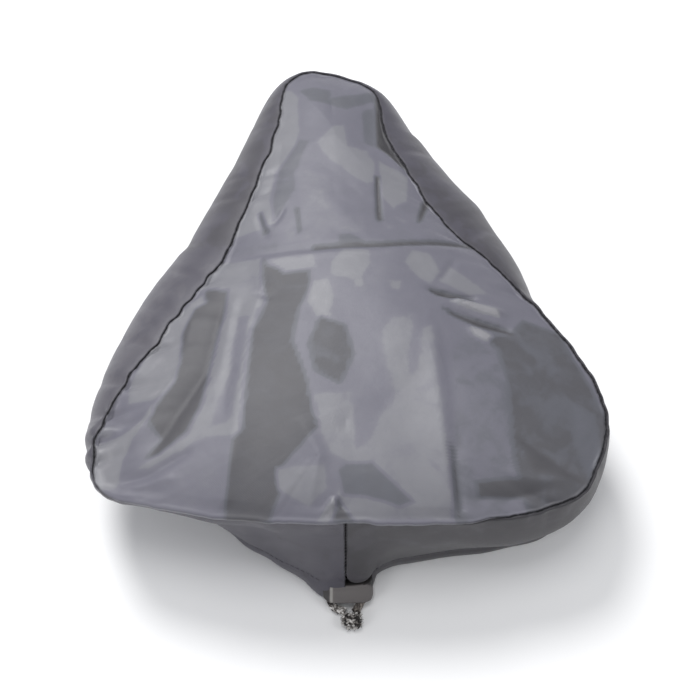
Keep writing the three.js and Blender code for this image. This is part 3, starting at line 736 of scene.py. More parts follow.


# %% [markdown]
# Each patch has a name, a shade and an outline. A shade of 0 is the plain cloth, less is dull and dark, more
# is shiny and pale, and that darkness and paleness is partly painted shade and painted highlight. Later ones
# lie over earlier ones.

# %% Patches of the coating
PATCHES = {
    "front, ground": (-0.1, [(-74, 40), (-48, 80), (-44, 135), (-30, 172), (0, 172), (22, 150), (38, 92),
        (72, 50), (40, 44), (-14, 41)]),
    "front, dark strip at the left seam": (-0.9, [*upper((150, 170), (168, 175), (160, 240), (130, 300),
        (110, 345)), (-50, 96), (-46, 114)]),
    "front, bright strip on the left": (0.8, [*upper((185, 85), (215, 90), (235, 110), (235, 200),
        (228, 250), (200, 290), (165, 330), (150, 420), (170, 480), (130, 500)), (-58, 53), (-54, 64),
        (-50, 85), *upper((130, 310), (155, 230)), (-40, 139)]),
    "front, middle strip": (-0.6, [*upper((200, 290), (235, 230), (270, 235), (240, 300), (225, 380),
        (190, 440), (160, 470), (160, 400), (175, 330))]),
    "front, bright field before the crease": (0.25, [*upper((228, 330), (250, 320), (330, 345),
        (328, 420), (360, 470), (430, 455), (435, 500), (400, 520), (330, 500), (300, 545), (200, 540),
        (190, 500), (240, 430))]),
    "front, bright middle": (0.6, [*upper((285, 245), (340, 195), (370, 190), (385, 255), (440, 270),
        (465, 300), (465, 360), (440, 370), (400, 350), (330, 300))]),
    "front, dull end": (-0.9, [*upper((240, 90), (280, 80), (330, 90), (330, 115), (420, 100), (460, 95),
        (468, 130), (380, 140), (330, 130), (270, 120))]),
    "front, dull bar beside the fold": (-0.7, [(9, 136), (15, 140), (15, 108), (9, 112)]),
    # the wedge of the fold and the pleat in it: painted shade in the fold, a little lighter along the pleat
    "front, dark wedge of the fold": (-2.4, [(17, 158), *upper((468, 130), (470, 262), (505, 285),
        (560, 330)), (42, 88), (38, 97), *upper((545, 285), (515, 220), (492, 160)), (19, 156)]),
    "front, pleat in the wedge": (-0.4, [(20, 134), (22.5, 130), (25, 118), (29, 108), (27, 107),
        (22, 118)]),
    "front, bright field beside the wedge": (0.8, [*upper((475, 300), (510, 320), (560, 350), (560, 420),
        (520, 440), (480, 400))]),
    # the four wrinkles that follow are painted shade in creases
    "small wrinkle at the left seam": (-1.6, [(-45, 66), (-43, 66), (-39, 53), (-41, 52)]),
    "short dark wrinkle": (-2.4, [(15, 88), (17.2, 88), (17.8, 58), (15.8, 58)]),
    "slanting dark wrinkle": (-2.3, [(36, 59), (38, 61), (42, 73), (46, 84), (43, 83), (39, 74)]),
    "small wrinkle left of the middle": (-1.4, [(-26, 66), (-23.5, 66), (-22, 50), (-24, 49)]),
    "bright speck on the right": (0.6, [(25, 61), (31, 59), (29, 57)]),
    "bright speck in the middle": (0.6, [(19, 56), (24, 54), (21, 51)]),
    "dark blob before the crease": (-0.9, [(-4, 47), *upper((390, 515), (430, 540)), (8, 39.5),
        *upper((360, 550))]),
    "dull band before the crease": (-0.3, [(-74, 40), (-42, 38.5), (-14, 39), *upper((330, 545)),
        (-29, 43.5), (-56, 46)]),
    "shadow of the packing crease": (-2.2, [(-16, 40), (19, 42.2), (64, 50.2), (64, 48), (19, 39.8),
        (-16, 38)]),
    "left, bright field": (0.6, [(-86, 24), *lower((400, 60), (545, 48), (545, 110), (565, 180),
        (530, 200), (520, 260), (505, 320), (490, 430), (485, 575), (450, 585), (380, 590), (300, 630),
        (200, 690), (170, 690), (240, 640), (320, 580), (365, 490), (385, 380), (410, 300), (435, 220),
        (440, 150)), (-68, 20)]),
    "left, dull middle of it": (0.1, [*lower((475, 215), (510, 225), (490, 320), (470, 440), (445, 540),
        (390, 560), (420, 480), (450, 380))]),
    "left, dark stripe": (-1.7, [(-68, 21), *lower((440, 150), (430, 220), (405, 300), (385, 380),
        (360, 490), (320, 570), (240, 640), (140, 680), (110, 720), (150, 620), (200, 540), (270, 450),
        (300, 370), (305, 290), (345, 215))]),
    "left, paler end of the stripe": (-0.2, [(-100, -62), *lower((200, 540)), (-84, -62), (-92, -72),
        *lower((110, 720))]),
    "left, outer bright field": (1.0, [*lower((370, 165), (380, 190), (345, 210), (305, 280), (302, 370),
        (285, 430), (225, 480), (150, 490), (155, 430), (215, 330), (250, 270), (300, 220))]),
    "left, wedge at the seam": (0.3, [(-124, -58), (-120, -36), (-108, -40), *lower((165, 525),
        (190, 535), (110, 580), (60, 605))]),
    "left, bright corner": (1.0, [*lower((215, 500), (180, 545), (130, 580), (60, 605)), (-124, -64),
        (-120, -84), *lower((110, 745), (130, 660), (160, 600)), (-89, -49)]),
    "left, low field": (0.1, [*lower((105, 740), (190, 690), (300, 640), (450, 600)), (-53, -101),
        (-79, -97), (-99, -92)]),
    "dark panel": (-1.5, [*lower((548, 50), (565, 75), (690, 85), (690, 130), (660, 200), (640, 300),
        (680, 420), (700, 500), (720, 560), (640, 640), (590, 700), (600, 760)), (-34, -103),
        (-54, -103), *lower((460, 600), (487, 570), (500, 430), (520, 260), (560, 180), (545, 110))]),
    "dark panel, bright top": (0.7, [(-38, 34), (-16, 35), (-14, 27), (-30, 25)]),
    "bright field behind the crease": (0.8, [(-1, 37), (11, 37), (12, 29), (7, 19), (2, 19), (-7, 22),
        (-7, 29)]),
    "bright strip beside the dark panel": (1.0, [(-16, 18), (-9, 19), (-6, 9), (-8, 0), (-5, -7),
        (-12, -6), (-18, 7)]),
    "bright speck behind the crease": (0.8, [(3, 20), (8, 19), (9, 14), (5, 14)]),
    "dark field in the middle": (-1.3, [(-12, -2), (0, -8), (4, -24), (-2, -40), (-14, -34), (-18, -18)]),
    "bright panel": (0.55, [*lower((900, 300), (915, 250), (940, 225), (1000, 215), (1010, 260),
        (985, 330), (990, 400), (1010, 380), (1030, 260), (1060, 250), (1075, 330), (1085, 440),
        (1105, 560), (1115, 700)), (48, -101), (5, -102), (-5, -94), *lower((800, 660), (760, 640),
        (730, 600), (720, 540), (690, 460), (740, 450), (820, 450), (830, 620), (870, 590), (900, 520),
        (940, 470), (930, 400), (905, 350))]),
    "back, dull middle": (-0.9, [*lower((800, 665), (880, 670), (940, 720), (1000, 780), (960, 795),
        (860, 770), (790, 760), (780, 690))]),
    # painted shade in the valley beside the right ridge
    "dark line of the right valley": (-1.3, [(47.5, -68), (49.5, -70), (52, -84), (53, -101),
        (49, -101)]),
    "back, bright field": (0.6, [(-31, -80), (-9, -78), (-8, -88), (-16, -97), (-30, -89)]),
    "right of the ridge": (-0.35, [(42, 4), (49, -8), (49, -60), (52, -101), (74, -101), (76, -58),
        (72, -6), (60, -8)]),
    "right, dark field": (-1.25, [*lower((1215, 290), (1290, 270)), (86, 4), (104, 0), (112, -20),
        (124, -48), (126, -67), (118, -90), (100, -97), (82, -96), *lower((1330, 760), (1300, 650),
        (1280, 420)), (72, -16)]),
    "right, darker spot": (-1.9, [*lower((1320, 590), (1400, 640), (1470, 700), (1530, 730), (1480, 720),
        (1370, 690))]),
    "right, dark strip at the back": (-1.6, [*lower((1190, 720), (1300, 715), (1420, 735), (1330, 765),
        (1200, 760))]),
    "right, paler edge": (-0.7, [(107, -42), (117, -46), (119, -70), (112, -78), (106, -62)]),
    # the pinch folds and the little back fold: painted highlights where they face the lamp, painted shade
    # where they face away
    "bright spot by the pinch folds": (0.8, [(29, 30), (33, 38), (41, 38), (46, 27), (41, 18), (36, 21)]),
    "bright edge by the pinch folds": (0.7, [(51, 32), (62, 24), (70, 17), (60, 15), (45, 21)]),
    "first pinch fold, dark": (-2.3, [(40, 16), (46, 15.5), (62, 13), (60, 11), (44, 12)]),
    "first pinch fold, bright": (2.2, [(51, 10), (61, 9), (73, 7), (74, 4), (64, 5.5)]),
    "second pinch fold, dark": (-2.0, [(46, 5), (56, 2.5), (78, -3), (80, -6), (64, -5), (50, 1)]),
    "second pinch fold, bright": (1.7, [(59, -5), (64, -5.5), (70, -9), (67, -13), (61, -10)]),
    "bright speck, middle right": (0.8, [(21, 18), (27, 19), (26, 13), (22, 14)]),
    "little back fold, bright side": (1.1, [(-12, -102), (-8, -96), (-4, -92), (-4, -97), (-6, -102)]),
    "little back fold, dark side": (-1.6, [(-6, -102), (-4, -97), (-4, -92), (0, -97), (3, -102)]),
}
PATCH_EDGE = 1.3          # a patch fades out over this distance to each side of its outline


def coating_and_painted_light(x, y):
    """The shade at places on the top: the coating's patches, with painted highlights and painted shade."""
    shade = np.zeros(np.shape(x))
    for value, outline in PATCHES.values():
        share = np.clip(0.5 + 0.5 * inside_outline(x, y, outline) / PATCH_EDGE, 0, 1)
        shade = mix(shade, value, share)
    return shade


top_points = points_of(top_panel)
mark(top_panel, "shade", coating_and_painted_light(top_points[:, 0], top_points[:, 1]))
print("top panel", len(top_panel.data.polygons), "faces,", len(PATCHES), "patches")

# %% [markdown]
# ## The side band
# The band starts with its own turned-down edge, goes over the seam and down its wall, past its widest
# height, and round the casing at the hem. Where its wall slopes in under the top, it first drops clear
# of the seam.

# %% The band's surface
CASING_STITCH = 10.0      # height of the stitches that close the casing
CASING_HALF = 3.9         # half the casing's width
SLIT = 0.5                # the back seam, as a slit between the band's two ends
BAND_BETWEEN = 2          # filled rows to each given one
BAND_EDGE = [(0, -ALLOWANCE, -6.6), (0, -1.3, -5.0), (0.1, -0.3, -3.9), (0.9, -0.1, -3.5)]
WALL = {"upper": 7, "lower": 9, "leave": 1.5, "leave_drop": 0.35, "clear": 3.2, "clear_over": 4,
        "clear_out": 4, "clear_drop": 1.6, "pass": 0.5, "pass_above": 0.9, "arrive": 1.1}
GATHER = {"depth": 1.1, "waves": (29, 21, 13), "still": 3, "reach": 22, "share": 0.7}
RELIEF = {"pucker": 0.9, "facet": 0.35, "across": 8.0, "up": 1.2, "size": 21, "seed": 7}
BAND_FOLDS = table("at width out slant", [
    (7, 1.6, -1.6, 1.5), (12.5, 1.5, 1.4, -1.0), (16, 1.2, -1.4, -1.2), (23, 1.8, -0.9, 0.8),
    (30, 1.5, -1.4, -1.0), (38, 1.7, 1.2, 1.0), (43, 1.2, -1.2, -1.0), (57, 1.4, -1.2, 1.0),
    (62, 1.8, 1.0, -1.0), (66.8, 0.8, -2.2, -1.5), (73, 1.7, -0.8, 1.2), (78, 1.5, 0.8, 1.0),
    (86, 1.8, -1.6, -1.2), (93, 1.5, -1.8, 1.5),
])
BAND_CALM = 0.5           # the band's outline is nearly straight, so its folds stay shallow


def band_fold(at, height):
    """Push of the band's folds, out of the loop, for a height from 1 at the seam to 0 at the hem."""
    push = np.zeros(np.shape(at))
    for fold in BAND_FOLDS:
        away = np.abs(at - fold["at"] - fold["slant"] * (1 - height))
        push += fold["out"] * bell(np.minimum(away, STATIONS - away), fold["width"])
    return BAND_CALM * push * math.sin(math.pi * min(1, max(0, height))) ** 0.7


def gather(at):
    """How far the hem bulges between its stitches; none next to the opening at the back."""
    turn = 2 * math.pi * at / STATIONS
    many, some, few = GATHER["waves"]
    wave = (0.5 * np.sin(many * turn + 2 * np.sin(3 * turn)) + 0.3 * np.sin(some * turn + 1)
            + 0.2 * np.sin(few * turn + 2))
    fade = np.clip(np.minimum(at, STATIONS - at) / GATHER["still"] - 1, 0, 1)
    return GATHER["depth"] * (0.5 + 0.5 * wave) * fade


def hermite(a, b, leave, arrive, t):
    """Points part of the way from a to b, on a curve with these directions at its ends."""
    return (a * (2 * t**3 - 3 * t**2 + 1) + b * (3 * t**2 - 2 * t**3)
            + leave * (t**3 - 2 * t**2 + t) + arrive * (t**3 - t**2))


def band_surface(at):
    s, out_s = seam_points(at), outward(SEAM, at)
    roll = np.clip(ROLL(at), 0, 1)
    hem_line = np.stack([HEM["x"](at), HEM["y"](at), np.zeros(len(at))], axis=-1)
    out_c, lean = outward(HEM, at), HEM["lean"](at)
    top = [beside(s, out_s, np.full(len(at), SEAM_GAP + out), s[:, 2] + mix(up, up_rolled, roll))
           for out, up, up_rolled in BAND_EDGE]
    start = top[-1]
    calm = s - out_s * wander(at)[:, None]       # below the seam, the wall doesn't wander with it
    belly = beside(calm, out_s, SEAM["out"](at), s[:, 2] - SEAM["drop"](at))
    foot = beside(hem_line, out_c, lean, CASING_STITCH)
    under = np.clip((WALL["clear"] - SEAM["out"](at)) / WALL["clear_over"], 0, 1)
    leave = (belly - start) * (WALL["leave"] * (1 - under))[:, None]
    leave += out_s * (WALL["clear_out"] * under)[:, None]
    leave[:, 2] = -mix(WALL["leave_drop"], WALL["clear_drop"], under) * (start[:, 2] - belly[:, 2])
    passing = (foot - start) * WALL["pass"]
    arrive = (foot - belly) * WALL["arrive"]
    wall = [hermite(start, belly, leave, passing * WALL["pass_above"], i / WALL["upper"])
            for i in range(1, WALL["upper"] + 1)]
    wall += [hermite(belly, foot, passing, arrive, i / WALL["lower"])
             for i in range(1, WALL["lower"] + 1)]
    bulge = gather(at)
    for i, row in enumerate(wall):
        height = 1 - (i + 1) / len(wall)
        low = np.maximum(0, 1 - (row[:, 2] - CASING_STITCH) / GATHER["reach"])
        from_seam = start[:, 2] - row[:, 2]
        push = band_fold(at, height) + RELIEF["pucker"] * pucker(at) * bell(from_seam, PUCKER_REACH)
        push = push + wedge(at) * bell(from_seam, WEDGE_REACH)
        crumple = facets(at * RELIEF["across"], row[:, 2] * RELIEF["up"], RELIEF["size"], RELIEF["seed"])
        push = push + RELIEF["facet"] * crumple * math.sin(math.pi * height) ** 0.5
        row += out_s * push[:, None] + out_c * (bulge * low * GATHER["share"])[:, None]
    casing_rows = [
        (0.45 * lean + 2.6, 6.6, 1),
        (CASING_HALF, 2.3, 0.9),
        (CASING_HALF - 1.0, 0.6, 0.7),
        (-CASING_HALF + 1.2, 0.6, 0),
        (-CASING_HALF, 2.0, 0),
        (-CASING_HALF + np.minimum(0, 0.3 * lean), 5.0, 0),
        (lean - 2.7, 7.0, 0),
        (lean - 1.8, CASING_STITCH - 1.5, 0),
    ]
    casing = [beside(hem_line, out_c, out + share * bulge, up) for out, up, share in casing_rows]
    grid = filled([*top, *wall, *casing], BAND_BETWEEN)
    grid[:, 0, 0] += SLIT / 2
    grid[:, -1, 0] -= SLIT / 2
    return grid


band_grid = band_surface(COLUMNS)
down = np.concatenate([[np.zeros(len(COLUMNS))],
                       np.cumsum(np.linalg.norm(np.diff(band_grid, axis=0), axis=2), axis=0)])
along = np.broadcast_to(COLUMNS / STATIONS * SEAM_LENGTH, down.shape)
side_band = cloth("side_band_cloth", band_grid, np.stack([along, down], axis=-1))
TURN_ROW = 2              # the row of BAND_EDGE where the band turns over
SLIT_RIM_WIDE = 0.6       # the dark line beside the slit, in millimetres
rim_of_band = bell(np.maximum(0, down - down[BAND_BETWEEN * TURN_ROW]), RIM_WIDE)
rim_of_band = np.maximum(rim_of_band, bell(np.minimum(along, SEAM_LENGTH - along), SLIT_RIM_WIDE))
print("side band", len(side_band.data.polygons), "faces")

# %% [markdown]
# ## The opening at the back
# The band's two ends meet in the back seam. Below it, the casing is cut back on both sides so that
# the cord can come out, and the right side's lower corner is rounded.

# %% Cutting the casing back
BACK = {"left": 7.8, "right": 12.5, "left_edge": 8.3, "right_edge": 10.4, "near": -126, "far": -98,
        "margin": 3, "corner_wide": 6, "corner_high": 8}
CORNER = [(4, 0), (1.9, 0.7), (0.9, 2), (0.5, 4)]     # x and height above the right edge


def cut_back(piece):
    """Takes the casing away at the opening, and rounds the corner above it on the right."""
    bm = bmesh.new()
    bm.from_mesh(piece.data)

    def near_opening(x0, x1, top):
        low, high = placed((x0, BACK["near"], -1)), placed((x1, BACK["far"], top))
        return [f for f in bm.faces if all(a <= c <= b for a, c, b in zip(low, f.calc_center_median(), high))]

    def split(faces, point, normal):
        edges = {e for f in faces for e in f.edges}
        verts = {v for f in faces for v in f.verts}
        bmesh.ops.bisect_plane(bm, geom=[*faces, *edges, *verts], dist=1e-7,
                               plane_co=placed(point), plane_no=normal)

    for x0, x1, edge in ((-BACK["left"], 0, BACK["left_edge"]), (0, BACK["right"], BACK["right_edge"])):
        outer, more = x0 if x0 else x1, BACK["margin"]
        split(near_opening(x0 - more, x1 + more, edge + more), (0, 0, edge), (0, 0, 1))
        split(near_opening(outer - more, outer + more, edge + more), (outer, 0, 0), (1, 0, 0))
        bmesh.ops.delete(bm, geom=near_opening(x0, x1, edge), context="FACES")
    edge = BACK["right_edge"]
    at_corner = (0, BACK["corner_wide"], edge + BACK["corner_high"])
    for (x_a, up_a), (x_b, up_b) in zip(CORNER, CORNER[1:]):
        point = (x_a, 0, edge + up_a)
        normal = Vector((up_a - up_b, 0, x_b - x_a)).normalized()
        split(near_opening(*at_corner), point, normal)
        gone = [f for f in near_opening(*at_corner)
                if (f.calc_center_median() - Vector(placed(point))).dot(normal) > 1e-6]
        bmesh.ops.delete(bm, geom=gone, context="FACES")
    bm.to_mesh(piece.data)
    bm.free()


BAND_PAINTED_SHADE = [(0, -1.3), (8, -1.5), (20, -1.4), (28, -0.8), (40, -0.4), (50, 0.0), (58, -0.5),
              (66.6, -0.5), (67.6, 0.2), (78, 0.5), (84, 0.4), (90, 0.1), (99, -0.1), (99.7, -0.1),
              (100, -1.3)]            # painted shade by "at": the band is darker on its right side, lighter on its left, and steps at a fold on the left
SHADE_SLANT = 1.5         # the shades slant by so much of "at" from the seam to the hem
height_share = np.linspace(1, 0, len(band_grid))[:, None]
band_at = np.broadcast_to(COLUMNS, down.shape) - SHADE_SLANT * (1 - height_share)
band_painted_shade = np.interp(band_at, *zip(*BAND_PAINTED_SHADE))

mark(side_band, "shade", carried(side_band, band_grid, band_painted_shade))
mark(side_band, "rim", carried(side_band, band_grid, rim_of_band))
cut_back(side_band)
print("side band, cut back:", len(side_band.data.polygons), "faces")

# %% [markdown]
# Under both corners of the opening lies a short tab of paler cloth, between the band and the cord. It
# comes up from inside the casing, goes over its own top edge and hangs down in front. The casing's left
# end goes on beside it, and is drawn as the same sheet.

# %% The tab under both corners
TAB_ROWS = table("top_x top_y top_z low_x low_y low_z", [
    (9.6, -104.0, 7.6, 9.8, -105.0, 4.2),
    (12.0, -107.6, 8.2, 12.6, -110.4, 4.4),
    (11.2, -111.6, 8.6, 12.4, -116.2, 4.5),
    (8.0, -112.8, 8.5, 9.8, -118.5, 4.6),
    (3.0, -113.3, 8.1, 3.8, -119.2, 4.8),
    (-2.5, -113.5, 7.8, -2.2, -119.3, 4.8),
    (-6.8, -113.5, 7.6, -6.9, -119.0, 4.8),
    (-9.0, -112.6, 7.2, -8.8, -117.9, 4.6),
    (-10.9, -111.2, 6.8, -10.5, -116.4, 4.4),
])
TAB_LEFT = -6.9           # the tab's own left edge; the casing's left end goes on beside it
TAB_COLUMNS = 5           # columns to each row of the table
TAB_BETWEEN = 4           # filled rows to each given one
TAB_INWARD = (0.0, 8.0, -4.5)      # from the tab's top edge down inside, where the cord lies
TAB_BULGE = {"inside": (0, 0.5, 0.8), "crest": (0, 1.2, 0.3), "over": (0, -0.5, -0.4), "face": (0, -0.7, 0)}


def tab_surface():
    """The tab runs up from inside the casing, over its top edge and down its outer face."""
    top, low = (filled([[row[f"{edge}_{k}"] for k in "xyz"] for row in TAB_ROWS], TAB_COLUMNS)
                for edge in ("top", "low"))
    inner = top + TAB_INWARD
    rows = [inner, mix(inner, top, 0.5) + TAB_BULGE["inside"], top + TAB_BULGE["crest"],
            top + TAB_BULGE["over"], mix(top, low, 0.5) + TAB_BULGE["face"], low]
    return filled(rows, TAB_BETWEEN)


tab_grid = tab_surface()
tab = cloth("band_tab_cloth", tab_grid, tab_grid[..., [0, 2]])
print("tab", len(tab.data.polygons), "faces")

# %% [markdown]
# ## Thickness
# Solidify gives each thin sheet its two sides and its rim.

# %% Sheets with two sides


def thickened(piece, thickness):
    solid = piece.modifiers.new("thickness", "SOLIDIFY")
    solid.thickness = thickness * MM
    solid.offset = 0
    solid.use_even_offset = False
    graph = bpy.context.evaluated_depsgraph_get()
    data = bpy.data.meshes.new_from_object(piece.evaluated_get(graph))
    piece.modifiers.clear()
    piece.data = data
    data.polygons.foreach_set("use_smooth", [True] * len(data.polygons))
    bm = bmesh.new()
    bm.from_mesh(data)
    bmesh.ops.recalc_face_normals(bm, faces=bm.faces)
    bm.to_mesh(data)
    bm.free()


thickened(top_panel, CLOTH)
thickened(side_band, CLOTH)
thickened(tab, 2 * CLOTH)

# %% [markdown]
# ## Finishes
# Shader maths is written as plain expressions: a Wire is one output of a node, and sums and products
# of wires add the Math nodes.

# %% Shader maths


class Wire:
    """One output of a node; arithmetic with it adds Math nodes to the same tree."""

    def __init__(self, nodes, socket):
        self.nodes, self.socket = nodes, socket

    def math(self, operation, first, second=0.0):
        return self.nodes.add("ShaderNodeMath", {"operation": operation}, {0: first, 1: second})

    def vector(self, operation, second=None):
        sockets = {0: self} if second is None else {0: self, 1: second}
        return self.nodes.add("ShaderNodeVectorMath", {"operation": operation}, sockets)

    def scaled(self, factor):
        return self.nodes.add("ShaderNodeVectorMath", {"operation": "SCALE"}, {0: self, "Scale": factor})

    def __add__(self, other):
        return self.math("ADD", self, other)

    def __radd__(self, other):
        return self.math("ADD", other, self)

    def __sub__(self, other):
        return self.math("SUBTRACT", self, other)

    def __rsub__(self, other):
        return self.math("SUBTRACT", other, self)

    def __mul__(self, other):
        return self.math("MULTIPLY", self, other)

    def __rmul__(self, other):
        return self.math("MULTIPLY", other, self)


class Nodes:
    """A tree of nodes under construction."""

    def __init__(self, tree):
        self.tree = tree

    def add(self, kind, settings=None, sockets=None, out=0):
        """Adds a node: its settings first, then its sockets, by name or number. Returns one output."""
        node = self.tree.nodes.new(kind)
        for key, value in (settings or {}).items():
            if key == "stops":
                ramp = node.color_ramp
                while len(ramp.elements) < len(value):
                    ramp.elements.new(1)
                for element, (position, shade) in zip(ramp.elements, value):
                    element.position = position
                    element.color = (shade, shade, shade, 1) if isinstance(shade, (int, float)) else shade
            else:
                setattr(node, key, value)
        for key, value in (sockets or {}).items():
            if isinstance(value, Wire):
                self.tree.links.new(value.socket, node.inputs[key])
            else:
                node.inputs[key].default_value = value
        return Wire(self, node.outputs[out])


class Finish(Nodes):
    """A material under construction."""

    def __init__(self, name):
        self.material = bpy.data.materials.new(name)
        self.material.use_nodes = True
        super().__init__(self.material.node_tree)
        self.tree.nodes.clear()

    def blend(self, factor, a, b):
        """A colour between a and b."""
        return self.add("ShaderNodeMix", {"data_type": "RGBA"}, {0: factor, 6: a, 7: b}, out=2)

    def close(self, **sockets):
        names = {key.replace("_", " "): value for key, value in sockets.items()}
        shader = self.add("ShaderNodeBsdfPrincipled", {}, names)
        self.add_output(shader)
        return self.material

    def add_output(self, shader):
        output = self.tree.nodes.new("ShaderNodeOutputMaterial")
        self.tree.links.new(shader.socket, output.inputs["Surface"])


def wear(piece, material):
    piece.data.materials.clear()
    piece.data.materials.append(material)
    piece.data.polygons.foreach_set("material_index", [0] * len(piece.data.polygons))


# %% [markdown]
# The cloth is a fine weave under a thin coating. A picture of cloth could be wrapped round the cover,
# but the patches belong to places on it. So each point of a piece carries its own "shade", noise makes
# the edges of the patches ragged, and a sine each way along the cut cloth gives the weave.

# %% Coated cloth
YARN = 0.0007            # pitch of the weave, in metres


def grey(r, g, b):
    """A linear colour from the 0 to 255 values that a screen shows."""
    return tuple(((v / 255 + 0.055) / 1.055) ** 2.4 for v in (r, g, b)) + (1.0,)


SHADES_AT = (0.02, 0.18, 0.34, 0.50, 0.66, 0.82)      # where a cloth's six greys lie on its ramp
TERRACE = 0.8            # the shade goes in steps of this size, so that patches have edges
FLATNESS = 0.45          # how much of the shade goes in those steps; the rest runs on evenly
# dirt and painted shade that darken the rim of a seam
SEAM_DIRT_AND_SHADE = grey(17, 16, 23)


def coated_cloth(name, greys, patchy):
    """Coated weave in six greys from dull to shiny. Its patches, painted highlights and painted shade among
    them, come from the piece's own "shade" and from noise."""
    f = Finish(name)
    uv = f.add("ShaderNodeUVMap", {"uv_map": "threads"}, {})
    across = f.add("ShaderNodeSeparateXYZ", {}, {0: uv}, out=0)
    length = f.add("ShaderNodeSeparateXYZ", {}, {0: uv}, out=1)
    warp = f.add("ShaderNodeMath", {"operation": "SINE"}, {0: across * (2 * math.pi / YARN)})
    weft = f.add("ShaderNodeMath", {"operation": "SINE"}, {0: length * (2 * math.pi / YARN)})
    place = f.add("ShaderNodeTexCoord", {}, {}, out="Object")
    shade = f.add("ShaderNodeAttribute", {"attribute_name": "shade"}, {}, out="Fac")
    broad = f.add("ShaderNodeTexNoise", {}, {"Vector": place, "Scale": 75.0, "Detail": 1.0,
                                             "Distortion": 0.8})
    ragged = f.add("ShaderNodeTexNoise", {}, {"Vector": place, "Scale": 260.0, "Detail": 2.0,
                                              "Distortion": 1.0})
    level = shade + (broad - 0.5) * (0.8 * patchy) + (ragged - 0.5) * (0.25 * patchy)
    terrace = level * (1 / TERRACE)
    floor_of = f.add("ShaderNodeMath", {"operation": "FLOOR"}, {0: terrace})
    riser = f.add("ShaderNodeMapRange", {"interpolation_type": "SMOOTHSTEP"},
                  {"Value": terrace - floor_of, "From Min": 0.32, "From Max": 0.68})
    flat = (floor_of + riser) * (TERRACE * FLATNESS) + level * (1 - FLATNESS)
    on_ramp = flat * 0.2 + 0.5           # shades from -2.5 to 2.5 fill the ramps
    stops = [(position, grey(*rgb)) for position, rgb in zip(SHADES_AT, greys)]
    tone = f.add("ShaderNodeValToRGB", {"stops": stops}, {0: on_ramp})
    gloss = f.add("ShaderNodeValToRGB", {"stops": [(0.2, 0.0), (0.8, 1.0)]}, {0: on_ramp})
    rim = f.add("ShaderNodeAttribute", {"attribute_name": "rim"}, {}, out="Fac")
    broken = f.add("ShaderNodeTexNoise", {}, {"Vector": place, "Scale": 330.0, "Detail": 2.0})
    rim = f.add("ShaderNodeMath", {"operation": "MINIMUM"}, {0: rim * (broken * 3.2 - 0.5), 1: 1.0})
    rim = f.add("ShaderNodeMath", {"operation": "MAXIMUM"}, {0: rim, 1: 0.0})
    # the rim of a seam darkens with dirt and painted shade
    colour = f.blend(rim * 0.95, tone, SEAM_DIRT_AND_SHADE)
    fine = f.add("ShaderNodeTexNoise", {}, {"Vector": place, "Scale": 110.0, "Detail": 3.0})
    crumple = f.add("ShaderNodeBump", {}, {"Strength": 0.22, "Distance": 0.0009, "Height": fine})
    weave = f.add("ShaderNodeBump", {}, {"Strength": 0.3, "Distance": 0.00008,
                                         "Height": warp * weft, "Normal": crumple})
    return f.close(Base_Color=colour, Roughness=0.53 - 0.14 * gloss + 0.35 * rim, Normal=weave,
                   Sheen_Weight=0.08, Sheen_Roughness=0.5)


TOP_CLOTH = coated_cloth("top_cloth", [
    (58, 57, 60), (74, 73, 77), (87, 88, 95), (101, 100, 110), (115, 115, 120), (133, 132, 136)], 1.0)
# the band's greys are darker than the top's: painted shade on its steep walls
BAND_CLOTH = coated_cloth("band_cloth", [
    (44, 42, 46), (54, 52, 56), (64, 62, 68), (72, 70, 79), (82, 80, 87), (90, 88, 94)], 2.1)
TAB_CLOTH = coated_cloth("tab_cloth", [
    (40, 38, 38), (52, 49, 49), (70, 66, 66), (98, 94, 93), (106, 102, 100), (150, 147, 143)], 1.0)
TAB_END = 0.7                  # the tab is paler along its left edge over this width, in millimetres
TAB_DEEP = -111.5              # further in than this, painted shade darkens the tab, and it is drawn dull
TAB_SHADES = {"edge": 2.4, "beyond": -1.5, "deep": -2.4}
tab_x, tab_y = points_of(tab)[:, 0], points_of(tab)[:, 1]
pale_left_edge = TAB_SHADES["edge"] * bell(tab_x - TAB_LEFT, TAB_END)
pale = pale_left_edge + TAB_SHADES["beyond"] * (tab_x < TAB_LEFT - TAB_END)
tab_painted_shade = TAB_SHADES["deep"] * (tab_y > TAB_DEEP)
mark(tab, "shade", pale + tab_painted_shade)
wear(top_panel, TOP_CLOTH)
wear(side_band, BAND_CLOTH)
wear(tab, TAB_CLOTH)

# %% [markdown]
# ## Threads and yarns
# Thread shows in the seams and round the hem, and the elastic cord has a braided cover of speckled
# yarns. Both repeat one small spindle along a line, so one tree of Geometry Nodes lays them: a stitch is
# one spindle at each step, and a braid is a ring of them, leaning left and right in turn.

# %% A tree that lays spindles along a line
YARN_INPUTS = [
    ("Pitch", "Float", 0.003), ("Around", "Int", 1), ("Away", "Float", 0.0), ("Lean", "Float", 0.0),
    ("Long", "Float", 0.002), ("Thick", "Float", 0.0005), ("Uneven", "Float", 0.1), ("Seed", "Int", 1),
    ("Material", "Material", None),
]


def new_tree(name, inputs):
    """An empty tree with a geometry input and output and the named inputs, and its inputs as wires."""
    tree = bpy.data.node_groups.new(name, "GeometryNodeTree")
    tree.interface.new_socket("Geometry", in_out="INPUT", socket_type="NodeSocketGeometry")
    tree.interface.new_socket("Geometry", in_out="OUTPUT", socket_type="NodeSocketGeometry")
    for label, kind, value in inputs:
        socket = tree.interface.new_socket(label, in_out="INPUT", socket_type=f"NodeSocket{kind}")
        if value is not None:
            socket.default_value = value
    nodes = Nodes(tree)
    entry = tree.nodes.new("NodeGroupInput")
    return nodes, {socket.name: Wire(nodes, socket) for socket in entry.outputs if socket.name}


